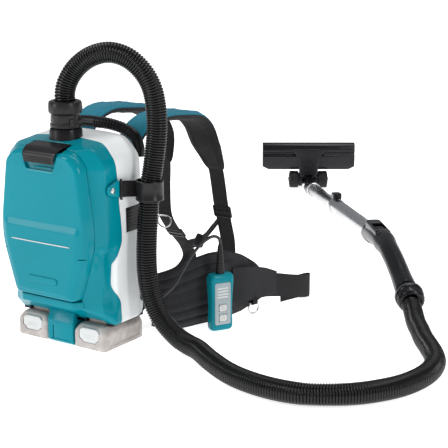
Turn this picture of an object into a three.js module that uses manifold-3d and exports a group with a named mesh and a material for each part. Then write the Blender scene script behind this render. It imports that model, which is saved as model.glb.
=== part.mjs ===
// Backpack vacuum cleaner: pack, harness, remote control, suction hose and telescopic wand.
// Millimetres, +Z up. The origin is at the centre of the pack's footprint, on the ground;
// -Y is the front of the pack and +Y is the side that the wearer's back rests on.
import * as THREE from 'three';
import { mergeVertices } from 'three/addons/utils/BufferGeometryUtils.js';
import Module from 'manifold-3d';

const wasm = await Module();
wasm.setup();

// ---------------------------------------------------------------- driving dimensions
const GAP = 0.3; // clearance between touching pieces
const WALL = 3; // housing wall
const HALF_W = 115; // half the pack's width
const TOP = 380; // top of the housings' sides at their joint
const ROOF_CROWN = 8; // how far the roof rises to its middle
const BACK_Y = 56; // back plane of the pack
const SEAM_Y = -20; // joint between the front and rear housings
const COVER_Y = -80; // joint between the front housing and the dust cover
const HOUSING_Z = 47; // underside of the housings' sides
const CHIN = { frontY: -94, bottom: 84, top: 97.5 }; // the front housing's lip below the cover
const BATTERY = { width: 75, depth: 116, height: 45, gap: 62, frontY: -60, railWidth: 46, railHeight: 9 };
const DOCK = { depth: 90, y: 8, bottom: BATTERY.height + 1, top: 57.7 };
const INLET = {
  y: -27, bore: 14, collarR: 30, collarZ: 376, collarTop: 404, cuffR: 27, rimR: 31, cuffTop: 453,
};
const SECTION_POINTS = 44; // points round one housing section
const WAIST_TOP = 240; // where the housings' sides start to lean in
const HOSE_R = 19;
const HOSE_Z = 21; // centre of the hose where it lies on the ground
const CABLE_R = 3;
const WAND = { x: -224, y: 1272, turn: -49.96, outerR: 19.5, innerR: 16.5, overlap: 110 };
const TUBE = { startS: 0, startZ: 22, stepS: 321, endS: 732, endZ: 84 };
const PITCH = Math.atan2(TUBE.endZ - TUBE.startZ, TUBE.endS - TUBE.startS);
const TUBE_LENGTH = Math.hypot(TUBE.endZ - TUBE.startZ, TUBE.endS - TUBE.startS);
const STEP_AT = TUBE.stepS / Math.cos(PITCH); // end of the outer tube, measured along the tube
const WHEEL = { r: 24, s: -120, side: 8 };
const HEAD = { width: 262, turn: 33.66 };
const REMOTE = { x: 203, y: 172, turn: 60, width: 50, depth: 26, height: 112 };
const STRAP_X = 65; // middle of each shoulder strap
const HINGE = { y: -94, z: 103 }; // the dust cover's pin

// ---------------------------------------------------------------- materials
const finish = (color, roughness, metalness = 0) =>
  new THREE.MeshStandardMaterial({ color, roughness, metalness });
const TEAL = finish(0x1396a3, 0.35);
const WHITE = finish(0xe9ebea, 0.4);
const BLACK = finish(0x1d1e20, 0.5);
const DARK = finish(0x3a3a3d, 0.5);
const RUBBER = finish(0x17181a, 0.75);
const CLOTH = finish(0x232426, 0.9);
const TEAL_CLOTH = finish(0x1f7f99, 0.8);
const METAL = finish(0xc8cacc, 0.25, 1);
const PALE = finish(0xc9c4bd, 0.5);
const FOAM = finish(0x2c2c2e, 0.95);
const PAPER = finish(0xe8e2d2, 0.9);
const COPPER = finish(0xb87333, 0.4, 1);
const BOARD = finish(0x1f5c3a, 0.6);

// ---------------------------------------------------------------- geometry helpers
const rad = THREE.MathUtils.degToRad;
const at = (geometry, x = 0, y = 0, z = 0) => geometry.translate(x, y, z);
const box = (w, d, h, x = 0, y = 0, z = 0) => at(new THREE.BoxGeometry(w, d, h), x, y, z);

// A cylinder along +Z, its base at z.
const rod = (r, h, x = 0, y = 0, z = 0, sides = 24) =>
  at(new THREE.CylinderGeometry(r, r, h, sides).rotateX(Math.PI / 2), x, y, z + h / 2);

// Lays a solid made along +Z down along +X.
const alongX = (geometry) => geometry.rotateY(Math.PI / 2);

// A turned solid about +Z; the profile is a list of [radius, z].
const turned = (profile, sides = 24) =>
  new THREE.LatheGeometry(profile.map(([r, z]) => new THREE.Vector2(r, z)), sides).rotateX(Math.PI / 2);

function toSolid(geometry) {
  const plain = geometry.clone();
  plain.deleteAttribute('normal');
  plain.deleteAttribute('uv');
  const merged = mergeVertices(plain, 1e-4);
  return new wasm.Manifold(new wasm.Mesh({
    numProp: 3,
    vertProperties: new Float32Array(merged.attributes.position.array),
    triVerts: new Uint32Array(merged.index.array),
  }));
}

function fromSolid(solid) {
  const { vertProperties, triVerts } = solid.getMesh();
  const geometry = new THREE.BufferGeometry();
  geometry.setAttribute('position', new THREE.BufferAttribute(new Float32Array(vertProperties), 3));
  geometry.setIndex(new THREE.BufferAttribute(new Uint32Array(triVerts), 1));
  geometry.computeVertexNormals();
  return geometry;
}

const join = (...parts) => fromSolid(parts.map(toSolid).reduce((a, b) => a.add(b)));
const cut = (body, ...tools) => fromSolid(tools.map(toSolid).reduce((a, b) => a.subtract(b), toSolid(body)));

// A closed body through a row of rings with equal numbers of points.
function loft(rings) {
  const count = rings[0].length;
  const position = [];
  const index = [];
  rings.forEach((ring) => ring.forEach((p) => position.push(p.x, p.y, p.z)));
  for (let i = 0; i + 1 < rings.length; i++) {
    for (let j = 0; j < count; j++) {
      const [a, b] = [i * count + j, i * count + (j + 1) % count];
      index.push(a, b, b + count, a, b + count, a + count);
    }
  }
  for (const [ring, flip] of [[0, true], [rings.length - 1, false]]) {
    const centre = new THREE.Vector3();
    rings[ring].forEach((p) => centre.addScaledVector(p, 1 / count));
    const hub = position.length / 3;
    position.push(centre.x, centre.y, centre.z);
    for (let j = 0; j < count; j++) {
      const [a, b] = [ring * count + j, ring * count + (j + 1) % count];
      index.push(...(flip ? [hub, b, a] : [hub, a, b]));
    }
  }
  const geometry = new THREE.BufferGeometry();
  geometry.setAttribute('position', new THREE.Float32BufferAttribute(position, 3));
  geometry.setIndex(index);
  return outward(geometry);
}

// Turns a closed body's faces outward if its volume comes out negative.
function outward(geometry) {
  const p = geometry.attributes.position;
  const index = geometry.index.array;
  const [a, b, c] = [new THREE.Vector3(), new THREE.Vector3(), new THREE.Vector3()];
  let volume = 0;
  for (let i = 0; i < index.length; i += 3) {
    a.fromBufferAttribute(p, index[i]);
    b.fromBufferAttribute(p, index[i + 1]);
    c.fromBufferAttribute(p, index[i + 2]);
    volume += a.dot(b.cross(c));
  }
  if (volume < 0) {
    for (let i = 0; i < index.length; i += 3) [index[i], index[i + 1]] = [index[i + 1], index[i]];
  }
  geometry.computeVertexNormals();
  return geometry;
}

// A closed shape from corners [x, y, radius].
function roundedShape(corners) {
  const shape = new THREE.Shape();
  const n = corners.length;
  corners.forEach(([x, y, r], i) => {
    const corner = new THREE.Vector2(x, y);
    const [px, py] = corners[(i + n - 1) % n];
    const [nx, ny] = corners[(i + 1) % n];
    const toward = (qx, qy) =>
      corner.clone().lerp(new THREE.Vector2(qx, qy), r / Math.hypot(qx - x, qy - y));
    const start = toward(px, py);
    const end = toward(nx, ny);
    if (i === 0) shape.moveTo(start.x, start.y);
    else shape.lineTo(start.x, start.y);
    if (r > 0) shape.quadraticCurveTo(x, y, end.x, end.y);
  });
  shape.closePath();
  return shape;
}

const extruded = (shape, depth, curveSegments = 3) =>
  new THREE.ExtrudeGeometry(shape, { depth, bevelEnabled: false, curveSegments });
const slab = (w, h, r, depth, segments = 4) => extruded(
  roundedShape([[-w / 2, -h / 2, r], [w / 2, -h / 2, r], [w / 2, h / 2, r], [-w / 2, h / 2, r]]),
  depth,
  segments,
);

// A rounded plate standing in the XZ plane, from y0 back to y0 + depth.
const wall = (w, h, r, depth, x, y0, z, segments = 4) =>
  at(slab(w, h, r, depth, segments).rotateX(Math.PI / 2), x, y0 + depth, z);

// A round or flat section drawn along a smooth path of [x, y, z] points.
const curve = (points) =>
  new THREE.CatmullRomCurve3(points.map((p) => new THREE.Vector3(...p)), false, 'centripetal');
function tube(points, radius, steps, sides = 10) {
  const circle = new THREE.Shape();
  for (let i = 0; i < sides; i++) {
    const a = (i / sides) * 2 * Math.PI;
    circle[i ? 'lineTo' : 'moveTo'](radius * Math.cos(a), radius * Math.sin(a));
  }
  circle.closePath();
  return new THREE.ExtrudeGeometry(circle, { steps, extrudePath: curve(points), curveSegments: 1 });
}

// A strap or padded band along a path, its width along `across`, with [width, thickness] along it.
function ribbon(points, sizes, steps, across = new THREE.Vector3(1, 0, 0)) {
  const path = curve(points);
  const rings = [];
  for (let i = 0; i <= steps; i++) {
    const t = i / steps;
    const k = Math.min(t * (sizes.length - 1), sizes.length - 1.001);
    const [s0, s1] = [sizes[Math.floor(k)], sizes[Math.floor(k) + 1]];
    const [w, h] = [0, 1].map((j) => (s0[j] + (s1[j] - s0[j]) * (k % 1)) / 2);
    const centre = path.getPointAt(t);
    const normal = new THREE.Vector3().crossVectors(path.getTangentAt(t), across).normalize();
    const side = h < 2.6 ? [[1, 1], [-1, 1], [-1, -1], [1, -1]]
      : [[1, 0.6], [0.86, 1], [-0.86, 1], [-1, 0.6], [-1, -0.6], [-0.86, -1], [0.86, -1], [1, -0.6]];
    rings.push(side.map(([a, b]) =>
      centre.clone().addScaledVector(across, a * w).addScaledVector(normal, b * h)));
  }
  return loft(rings);
}

const group = new THREE.Group();
function add(name, geometry, material, parent = group) {
  const mesh = new THREE.Mesh(geometry, material);
  mesh.name = name;
  parent.add(mesh);
  return mesh;
}

// ---------------------------------------------------------------- pack housings
// One section of the housing at depth y: half widths at the foot, waist and shoulder.
function section(y, foot, footZ, waist, waistZ, shoulder, topZ, topR, inset = 0) {
  const ridge = topZ - inset + ROOF_CROWN * Math.min(1, (y + 108) / 28);
  const corners = [
    [0, footZ + inset, 0], [foot - inset, footZ + inset, 10], [waist - inset, waistZ, 24],
    [waist - inset, WAIST_TOP, 20], [shoulder - inset, topZ - inset, topR], [0, ridge, 0],
  ];
  const left = corners.slice(1, 5).reverse().map(([x, z, r]) => [-x, z, r]);
  return roundedShape([...corners, ...left]).getSpacedPoints(SECTION_POINTS).slice(0, SECTION_POINTS)
    .map((p) => new THREE.Vector3(p.x, y, p.y));
}

const frontSections = (inset, from, to) => [
  section(from, 68, CHIN.bottom, 104, 190, 86, TOP - 10, 28, inset),
  section(-59, 106, 69, HALF_W, 150, 113, TOP - 5, 36, inset),
  section(-34, HALF_W, HOUSING_Z, HALF_W, 130, 112, TOP - 2, 38, inset),
  section(to, HALF_W, HOUSING_Z, HALF_W, 130, 112, TOP, 38, inset),
];
const rearSections = (inset, from, to, backInset) => [
  section(from, HALF_W, HOUSING_Z, HALF_W, 130, 112, TOP, 38, inset),
  section(30, HALF_W, HOUSING_Z, HALF_W, 130, 113, TOP + 4, 40, inset),
  section(46, 112, HOUSING_Z + 2, 112, 130, 109, TOP + 2, 40, inset),
  section(to, 104, HOUSING_Z + 6, 104, 130, 102, TOP - 5, 38, backInset),
];

const bayX = BATTERY.gap / 2 + BATTERY.width / 2;
const railZ = BATTERY.height + (BATTERY.railHeight - 1) / 2;
const dockWidth = 2 * HALF_W - 14;
const dockSeat = box(dockWidth + 2 * GAP, DOCK.depth + 2 * GAP, 30, 0, DOCK.y, DOCK.top + GAP - 15);
const inletSeat = rod(INLET.collarR + GAP, 40, 0, INLET.y, INLET.collarZ - 2);
const latchSeat = box(92, 40, 30, 0, -80, TOP);
const ventSeat = box(14, 46, 46, HALF_W, 21, 240);
const cableHole = rod(5, 30, 0, 0, 0).rotateY(Math.PI / 2).translate(HALF_W - 15, 46, 84);
const railWay = (x) => box(BATTERY.railWidth + 1, 30, 40, x, -40, railZ - 13.6);
const chin = extruded(roundedShape([
  [-62, CHIN.frontY, 6], [62, CHIN.frontY, 6], [71, -80, 3], [71, -70, 2], [-71, -70, 2], [-71, -80, 3],
]), CHIN.top - CHIN.bottom);
add('front_housing', cut(
  join(
    cut(
      loft(frontSections(0, COVER_Y + 1, SEAM_Y - GAP)),
      loft(frontSections(WALL, COVER_Y - 4, SEAM_Y + 6)),
    ),
    at(chin, 0, 0, CHIN.bottom + 0.2),
  ),
  inletSeat,
  latchSeat,
  dockSeat,
  railWay(-bayX),
  railWay(bayX),
), TEAL);
add('rear_housing', cut(
  loft(rearSections(0, SEAM_Y, BACK_Y, 0)),
  loft(rearSections(WALL, SEAM_Y - 6, BACK_Y - WALL, WALL + 3)),
  inletSeat,
  ventSeat,
  cableHole,
  dockSeat,
), WHITE);

// The wall between the dust chamber and the motor chamber, with the filter's window.
add('chamber_wall', cut(
  wall(2 * HALF_W - 18, 176, 20, 4, 0, 2, 264, 3),
  wall(124, 124, 8, 12, 0, -2, 250, 3),
), DARK);

// ---------------------------------------------------------------- dust cover and its latch
const coverOuter = (inset, y0) => [
  section(y0, 72, 100, 104, 196, 86, 368, 28, inset),
  section(-92, 70, 100, 101, 196, 83, 367, 27, inset),
  section(-99, 67, 102, 96, 198, 80, 365, 25, inset),
  section(-102 + inset, 63, 106, 92, 200, 76, 361, 22, inset),
];
const latchPocket = wall(88, 34, 8, 20, 0, -112, 346, 3);
const pocketCut = wall(66, 14, 5, 12, 0, -108, 332, 3);
const latchTop = box(92, 30, 34, 0, -90, 375);
add('dust_cover', cut(
  loft(coverOuter(0, COVER_Y)),
  loft(coverOuter(WALL, COVER_Y + 4)),
  latchPocket,
  pocketCut,
  latchTop,
  alongX(rod(1.6, 104, 0, 0, 0, 10)).translate(-52, HINGE.y, HINGE.z),
), TEAL);
const latchShape = roundedShape([
  [-62, 377.6, 0], [-62, 380.6, 2], [-92, 376, 5], [-101.5, 367.5, 5], [-102.8, 338, 2],
  [-98.4, 338, 1], [-97.6, 363, 5], [-90, 372, 3],
]);
add('cover_latch', extruded(latchShape, 84, 4)
  .rotateX(Math.PI / 2).rotateZ(Math.PI / 2).translate(-42, 0, 0), DARK);
add('hinge_pin', alongX(rod(1.2, 100, 0, 0, 0, 10)).translate(-50, HINGE.y, HINGE.z), METAL);

// ---------------------------------------------------------------- inside the pack
add('dust_bag', at(new THREE.SphereGeometry(1, 20, 12).scale(82, 30, 84), 0, -46, 252), PAPER);
add('hepa_filter', wall(118, 118, 6, 26, 0, -6, 250, 3), PAPER);
add('suction_motor', rod(46, 60, 0, 0, 0, 32).rotateX(-Math.PI / 2).translate(0, -16, 122), COPPER);
add('fan_impeller', join(
  rod(44, 3, 0, 0, 0, 32),
  rod(9, 16, 0, 0, 0, 16),
  ...[0, 1, 2, 3, 4, 5, 6].map((i) => box(32, 2, 12, 24, 0, 8).rotateZ(i * 2 * Math.PI / 7)),
).rotateX(-Math.PI / 2).translate(0, -36, 122), METAL);
add('controller_board', box(46, 3, 50, 78, 40, 100), BOARD);
add('outlet_grille', cut(
  wall(44, 44, 4, 3, 0, 0, 0),
  ...[-14, -7, 0, 7, 14].map((z) => box(36, 9, 3, 0, 1, z)),
).rotateZ(Math.PI / 2).translate(HALF_W + 0.6, 21, 240), BLACK);

// ---------------------------------------------------------------- suction inlet
add('inlet_collar', turned([
  [INLET.bore, 350], [18, 350], [18, INLET.collarZ], [INLET.collarR, INLET.collarZ],
  [INLET.collarR, INLET.collarTop - 3], [INLET.collarR - 3, INLET.collarTop], [INLET.bore, INLET.collarTop],
  [INLET.bore, 350],
]).translate(0, INLET.y, 0), BLACK);
add('pack_cuff', turned([
  [INLET.bore, INLET.collarTop + GAP], [INLET.cuffR + 1, INLET.collarTop + GAP],
  [INLET.cuffR, 426], [INLET.rimR, 430], [INLET.rimR, INLET.cuffTop - 4],
  [INLET.rimR - 4, INLET.cuffTop], [INLET.bore, INLET.cuffTop], [INLET.bore, INLET.collarTop + GAP],
]).translate(0, INLET.y, 0), DARK);

// ---------------------------------------------------------------- batteries and their dock
add('battery_dock', cut(
  box(dockWidth, DOCK.depth, DOCK.top - DOCK.bottom, 0, DOCK.y, (DOCK.top + DOCK.bottom) / 2),
  ...[-bayX, bayX].map((x) => box(BATTERY.railWidth + 1, DOCK.depth + 2, BATTERY.railHeight + 1.4, x, 2,
    DOCK.bottom + 4.6)),
), BLACK);
const bridgeShape = roundedShape([
  [-60, 0, 2], [48, 0, 2], [48, DOCK.bottom - 0.4, 0], [-46, DOCK.bottom - 0.4, 0],
  [-47, 57, 2], [-53, 60, 2], [-60, 42, 2],
]);
add('battery_bridge', extruded(bridgeShape, BATTERY.gap - 1)
  .rotateX(Math.PI / 2).rotateZ(Math.PI / 2).translate(-30.5, 0, 0), TEAL);
for (const [side, sign] of [['left', -1], ['right', 1]]) {
  const x = sign * bayX;
  const y = BATTERY.frontY + BATTERY.depth / 2;
  const body = join(
    at(slab(BATTERY.width - 1, BATTERY.depth, 8, BATTERY.height, 3), x, y, 0),
    box(BATTERY.railWidth, 84, BATTERY.railHeight + 1, x, y + 4, railZ),
  );
  add(`battery_${side}`, cut(body, box(42, 18, 20, x, BATTERY.frontY, 26)), PALE);
  add(`battery_button_${side}`, box(41, 6, 19, x, BATTERY.frontY + 2.5, 26), WHITE);
}

// ---------------------------------------------------------------- carry handle and hose holder
add('carry_handle', tube([
  [-93, 68, 345], [-93, 68, 362], [-86, 66, 381], [-66, 63, 393], [-34, 61, 400], [0, 61, 401],
  [34, 61, 400], [66, 63, 393], [86, 66, 381], [93, 68, 362], [93, 68, 345],
], 11, 26, 10), BLACK);
const BAND = { x: 149, y: 25, z: 296 };
add('hose_lug', extruded(roundedShape([[-15, -8, 6], [15, -16, 5], [15, 16, 5], [-15, 8, 6]]), 6)
  .rotateX(Math.PI / 2).rotateZ(Math.PI / 2).translate(HALF_W + 0.5, -42, 304), TEAL);
add('lug_screw', rod(5, 3, 0, 0, 0, 16).rotateY(Math.PI / 2).translate(HALF_W + 7, -48, 304), METAL);
add('hose_band', join(
  cut(rod(25.6, 36, BAND.x, BAND.y, BAND.z - 18, 24), rod(23, 60, BAND.x, BAND.y, BAND.z - 30, 24)),
  ribbon([[117.8, -24, 302], [121, -10, 301], [124, 4, 299], [129, 16, 298]], [[30, 4], [30, 4]], 6,
    new THREE.Vector3(0, 0, 1)),
), BLACK);

// ---------------------------------------------------------------- harness
add('back_plate', wall(176, 270, 24, 7, 0, BACK_Y + GAP, 205), BLACK);
add('back_pad', wall(150, 180, 30, 20, 0, BACK_Y + 7 + 2 * GAP, 232), FOAM);
add('lumbar_pad', wall(196, 96, 26, 24, 0, BACK_Y + 7 + 2 * GAP, 84), CLOTH);
// Each strap's run over the shoulder and down, then its webbing's run back to the belt, as [y, z].
// The slider sits between two neighbouring points of the webbing.
const STRAPS = {
  left: {
    pad: [[152, 407], [215, 403], [280, 392], [328, 365], [352, 322], [358, 270]],
    webbing: [[358.6, 262], [357, 214], [362, 156], [386, 121], [413, 93], [441, 64], [455, 38], [438, 20],
      [380, 16], [300, 26], [190, 42], [130, 54], [96, 62]],
    slider: 3,
  },
  right: {
    pad: [[152, 404], [215, 400], [268, 390], [300, 367], [325, 326], [350, 288], [362, 268]],
    webbing: [[364, 262], [372, 231], [380, 195], [394, 150], [408, 100], [404, 60], [350, 30], [280, 26],
      [190, 42], [130, 54], [96, 62]],
    slider: 2,
  },
};
for (const [side, sign] of [['left', -1], ['right', 1]]) {
  const x = sign * STRAP_X;
  const { pad, webbing, slider } = STRAPS[side];
  add(`shoulder_strap_${side}`, ribbon([
    [sign * 56, 80, 332], [sign * 58, 86, 364], [sign * 62, 106, 390], ...pad.map(([y, z]) => [x, y, z]),
  ], [[46, 12], [60, 14], [74, 16], [76, 18], [76, 18], [72, 16], [46, 12]], 20), TEAL_CLOTH);
  // The webbing drifts outward on its way back to the belt.
  const drift = (i) => sign * Math.min(14, Math.max(0, 3 * (i - 5)));
  add(`strap_webbing_${side}`, ribbon(webbing.map(([y, z], i) => [x + drift(i), y, z]),
    [[34, 4], [34, 3], [34, 3]], 26), CLOTH);
  const [[y0, z0], [y1, z1]] = webbing.slice(slider, slider + 2);
  add(`strap_slider_${side}`, cut(box(42, 12, 26), box(36, 8, 40))
    .rotateX(Math.atan2(y1 - y0, z0 - z1)).translate(x, (y0 + y1) / 2, (z0 + z1) / 2), BLACK);
}
const across = new THREE.Vector3(0, 0, 1);
for (const [side, sign] of [['left', -1], ['right', 1]]) {
  const wing = [
    [sign * 106, 82, 66], [sign * 121, 91, 64], [sign * 138, 112, 66], [sign * 156, 158, 72],
    [sign * 172, 205, 74], [sign * 187, 255, 70], [sign * 198, 305, 60], [sign * 204, 342, 46],
  ];
  add(`belt_wing_${side}`, ribbon(wing, [
    [104, 18], [122, 19], [134, 19], [140, 19], [138, 18], [118, 16], [84, 14], [34, 8],
  ], 20, across), CLOTH);
}
add('waist_webbing', ribbon([
  [203, 262, 62], [213, 300, 58], [224, 345, 50], [234, 390, 38], [240, 425, 30], [241, 446, 27],
  [236, 456, 26], [230, 450, 26], [226, 425, 27], [222, 395, 29], [218, 372, 30],
], [[44, 3], [44, 3], [44, 3], [44, 3]], 34, across), CLOTH);
add('waist_ring', cut(rod(14, 3, 0, 0, 0, 20), rod(10.5, 9, 0, 0, -3, 20))
  .rotateY(Math.PI / 2).rotateZ(rad(-18)).translate(209, 283, 16), METAL);
const chestPath = [
  [-47, 420, 77], [-40, 417, 80], [-22, 408, 87], [-4, 400, 95], [14, 394, 107], [30, 390, 124],
  [40, 391, 136], [46, 393, 144],
];
const chestAcross = new THREE.Vector3(0, 0.45, 0.89).normalize();
add('chest_strap', ribbon(chestPath, [[22, 3], [22, 3]], 18, chestAcross), CLOTH);
add('chest_buckle', cut(
  box(30, 12, 30).rotateX(-0.47).rotateZ(-0.37).translate(-2, 399.5, 97),
  ribbon(chestPath, [[24, 4.4], [24, 4.4]], 18, chestAcross),
), BLACK);

// ---------------------------------------------------------------- remote control
const remote = new THREE.Group();
remote.position.set(REMOTE.x, REMOTE.y, 1);
remote.rotation.z = rad(REMOTE.turn);
group.add(remote);
const faceY = -REMOTE.depth / 2;
add('remote_body', cut(
  wall(REMOTE.width, REMOTE.height, 10, REMOTE.depth, 0, faceY, REMOTE.height / 2, 4),
  wall(34, 84, 3, 2, 0, faceY - 0.5, 54, 2),
  ...[26, 46].map((z) => box(16.6, 8, 14.6, 0, faceY + 3, z)),
), TEAL, remote);
add('remote_panel', cut(wall(33, 83, 3, 1.2, 0, faceY + 0.1, 54, 2),
  ...[26, 46].map((z) => box(16.6, 8, 14.6, 0, faceY, z))), PALE, remote);
for (const [name, z] of [['remote_button_power', 26], ['remote_button_mode', 46]]) {
  add(name, box(15.6, 4, 13.6, 0, faceY + 0.9, z), WHITE, remote);
}
add('remote_gland', turned([
  [0, REMOTE.height + GAP], [8, REMOTE.height + GAP], [8, REMOTE.height + 12], [4.4, REMOTE.height + 56],
  [0, REMOTE.height + 56],
], 16), BLACK, remote);
add('cable_gland', turned([[0, 0], [8, 0], [8, 5], [4.5, 22], [0, 22]], 16)
  .rotateY(Math.PI / 2).translate(HALF_W - 1.5, 46, 84), BLACK);

// ---------------------------------------------------------------- free hose and cable
add('vacuum_hose', tube([
  [0, -27, 453.4], [0, -27, 464], [4, -24.5, 484], [18, -16.5, 510], [45, -6.5, 532], [78, 4.5, 541],
  [109, 16, 533], [134, 26, 511], [149, 34, 482], [155, 39, 445], [155.5, 40, 402], [152, 35, 350],
  [149, 25, 296], [149, 18, 240], [149, 13, 186], [151, 12, 140], [158, 15, 98], [178, 18, 58],
  [214, 17, 30], [240, 13, 22.8], [264, 6, HOSE_Z], [318, -30, HOSE_Z], [379, -64, HOSE_Z],
  [430, -80, HOSE_Z], [482, -85, HOSE_Z], [530, -78, HOSE_Z],
  [570, -57, HOSE_Z], [605, -28, HOSE_Z], [631, 7, HOSE_Z],
  [650, 45, HOSE_Z], [660, 88, HOSE_Z], [661, 132, HOSE_Z], [651, 176, HOSE_Z], [632, 212, HOSE_Z],
  [606, 248, HOSE_Z], [579, 283, HOSE_Z], [553, 322, HOSE_Z], [528, 358, 22], [505, 394, 27.5],
  [495, 409, 31.2], [486.9, 418.6, 34.4],
], HOSE_R, 56, 10), RUBBER);
add('remote_cable', tube([
  [136, 46, 84], [143, 46.5, 84], [155, 54, 90], [165, 76, 106], [170, 94, 128], [175, 112, 150],
  [181, 130, 169], [189, 147, 182], [197, 160, 187], [202, 169, 182], [203, 172, 174], [203, 172, 169.4],
], CABLE_R, 26, 8), RUBBER);

// ---------------------------------------------------------------- wand, handle and floor head
const wand = new THREE.Group(); // local +X runs along the ground from the floor head to the handle
wand.position.set(WAND.x, WAND.y, 0);
wand.rotation.z = rad(WAND.turn);
group.add(wand);
const tubes = new THREE.Group(); // local +X runs along the tubes' axis
tubes.position.set(TUBE.startS, 0, TUBE.startZ);
tubes.rotation.y = -PITCH;
wand.add(tubes);

const pipe = (r, wallT, from, to) => alongX(turned(
  [[r - wallT, from], [r, from], [r, to], [r - wallT, to], [r - wallT, from]], 28));
add('inner_tube', pipe(WAND.innerR, 1.5, 2, STEP_AT + WAND.overlap), METAL, tubes);
add('outer_tube', pipe(WAND.outerR, 1.5, STEP_AT, TUBE_LENGTH), METAL, tubes);
add('tube_lock', at(slab(34, 22, 6, 15, 3), STEP_AT + 17, 0, WAND.outerR + GAP), BLACK, tubes);

// Handle: socket on the outer tube, then an arched grip that comes down to the hose cuff.
const handlePath = [
  [732, 84], [770, 89.5], [805, 93], [845, 95.5], [892, 92], [939, 83], [990, 69], [1034, 55], [1058, 48.5],
];
const handleTube = (r, path, steps, sides) => tube(path.map(([s, z]) => [s, 0, z]), r, steps, sides);
const grip = join(
  handleTube(22, handlePath.slice(0, 4), 3, 14),
  handleTube(20, handlePath.slice(2), 9, 14),
  box(96, 34, 16, 800, 0, 107),
);
add('wand_handle', cut(
  grip,
  handleTube(15.5, [[716, 81.9], ...handlePath.slice(1, 8), [1074, 41]], 12, 10),
  alongX(rod(WAND.outerR + GAP, 72, 0, 0, 0, 28)).rotateY(-PITCH).translate(700, 0, 81.2),
  box(40, 24, 12, 812, 0, 113),
), BLACK, wand);
add('suction_slider', box(20, 23, 5, 806, 0, 110.4), DARK, wand);
const cuffTilt = rad(-14);
add('handle_cuff', turned([
  [15, 0], [20.5, 0], [20.5, 6], [25, 12], [29, 16], [29, 24], [26, 28], [26, 42], [20, 46], [15, 46],
  [15, 0],
], 24).rotateY(Math.PI / 2).rotateY(-cuffTilt).translate(1060, 0, 47.6), DARK, wand);

// Floor head: standing on its two wheels, its sole turned away from the wand.
const head = new THREE.Group(); // local X lies across the head, local Z runs up the standing head
head.position.set(WHEEL.s, WHEEL.side, WHEEL.r);
head.rotation.z = rad(HEAD.turn - WAND.turn);
wand.add(head);
const acrossX = (geometry) => geometry.rotateX(Math.PI / 2).rotateZ(Math.PI / 2);
const headProfile = roundedShape([
  [20, 30, 3], [20, 100, 4], [8, 106, 4], [-8, 106, 4], [-16, 98, 5], [-17, 80, 3], [-13, 76, 2],
  [-16, 71, 3], [-14, 44, 6], [-6, 29, 4],
]);
const chamfer = (sign) => box(60, 90, 30).rotateY(sign * rad(-29)).translate(sign * 131, 0, 22);
add('nozzle_head', cut(
  join(
    acrossX(extruded(headProfile, HEAD.width)).translate(-HEAD.width / 2, 0, 0),
    at(extruded(roundedShape([
      [-26, 22, 4], [26, 22, 4], [28, 62, 20], [48, 92, 8], [-48, 92, 8], [-28, 62, 20],
    ]), 22, 4).rotateX(Math.PI / 2), 0, -2, 0),
    ...[-1, 1].map((sign) => acrossX(rod(16, 10, 0, 0, 0, 20)).translate(sign > 0 ? 16 : -26, 0, 0)),
    ...[-1, 1].map((sign) => box(10, 26, 34, sign * 21, -5, 16)),
    ...[-1, 1].map((sign) => alongX(rod(5, 32, 0, 0, 0, 16)).translate(sign > 0 ? 25 : -57, 0, 0)),
  ),
  chamfer(-1),
  chamfer(1),
), BLACK, head);
add('nozzle_sole', box(HEAD.width - 14, 3.5, 66, 0, 22.3, 66), DARK, head);
for (const [side, sign] of [['left', -1], ['right', 1]]) {
  const hub = turned([
    [5.3, 0], [16, 0], [18, 1.5], [22, 1.5], [WHEEL.r, 4], [WHEEL.r, 24], [21, 28], [5.3, 28], [5.3, 0],
  ], 24);
  add(`wheel_${side}`, alongX(hub).translate(sign > 0 ? 27.5 : -55.5, 0, 0), RUBBER, head);
}
add('nozzle_elbow', cut(
  join(
    alongX(rod(14, 31, 0, 0, 0, 20)).translate(-15.5, 0, 0).rotateZ(rad(HEAD.turn - WAND.turn))
      .translate(WHEEL.s, WHEEL.side, WHEEL.r),
    tube([
      [-118, WHEEL.side, 24], [-90, 6.5, 24], [-55, 3, 22.8], [-20, 0.3, 20.6], [-4, 0, 20.6],
    ], 14, 6, 12),
    alongX(turned([[0, -46], [15, -46], [19, -34], [19.6, -24], [19.6, 12], [0, 12], [0, -46]], 24))
      .rotateY(-PITCH).translate(0, 0, TUBE.startZ),
  ),
  alongX(rod(WAND.innerR + GAP, 30, 0, 0, 0, 28)).rotateY(-PITCH).translate(0, 0, TUBE.startZ),
), BLACK, wand);

export default group;
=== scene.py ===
# Backpack vacuum cleaner: the finished look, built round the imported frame.
# Shapes are written in millimetres and become metres when their mesh is made; cords, light and
# camera are in metres.
import math

import bmesh
import bpy
from mathutils import Matrix, Vector


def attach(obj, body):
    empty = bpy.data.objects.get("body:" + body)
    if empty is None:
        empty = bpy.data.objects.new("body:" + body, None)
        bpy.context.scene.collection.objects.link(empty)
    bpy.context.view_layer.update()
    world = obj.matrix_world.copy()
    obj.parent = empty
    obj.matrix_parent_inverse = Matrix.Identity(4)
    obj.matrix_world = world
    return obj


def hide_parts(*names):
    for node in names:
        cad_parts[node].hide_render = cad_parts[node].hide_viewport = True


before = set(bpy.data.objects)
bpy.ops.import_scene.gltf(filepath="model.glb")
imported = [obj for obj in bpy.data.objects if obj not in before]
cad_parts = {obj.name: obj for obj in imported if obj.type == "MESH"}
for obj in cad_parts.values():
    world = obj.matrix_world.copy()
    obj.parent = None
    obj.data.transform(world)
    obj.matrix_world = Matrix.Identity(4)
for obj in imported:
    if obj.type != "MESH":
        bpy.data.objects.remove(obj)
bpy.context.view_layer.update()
MM = 0.001
TAU = 2 * math.pi
SIDES = (("left", -1), ("right", 1))
UP = (0, 0, 1)


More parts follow.
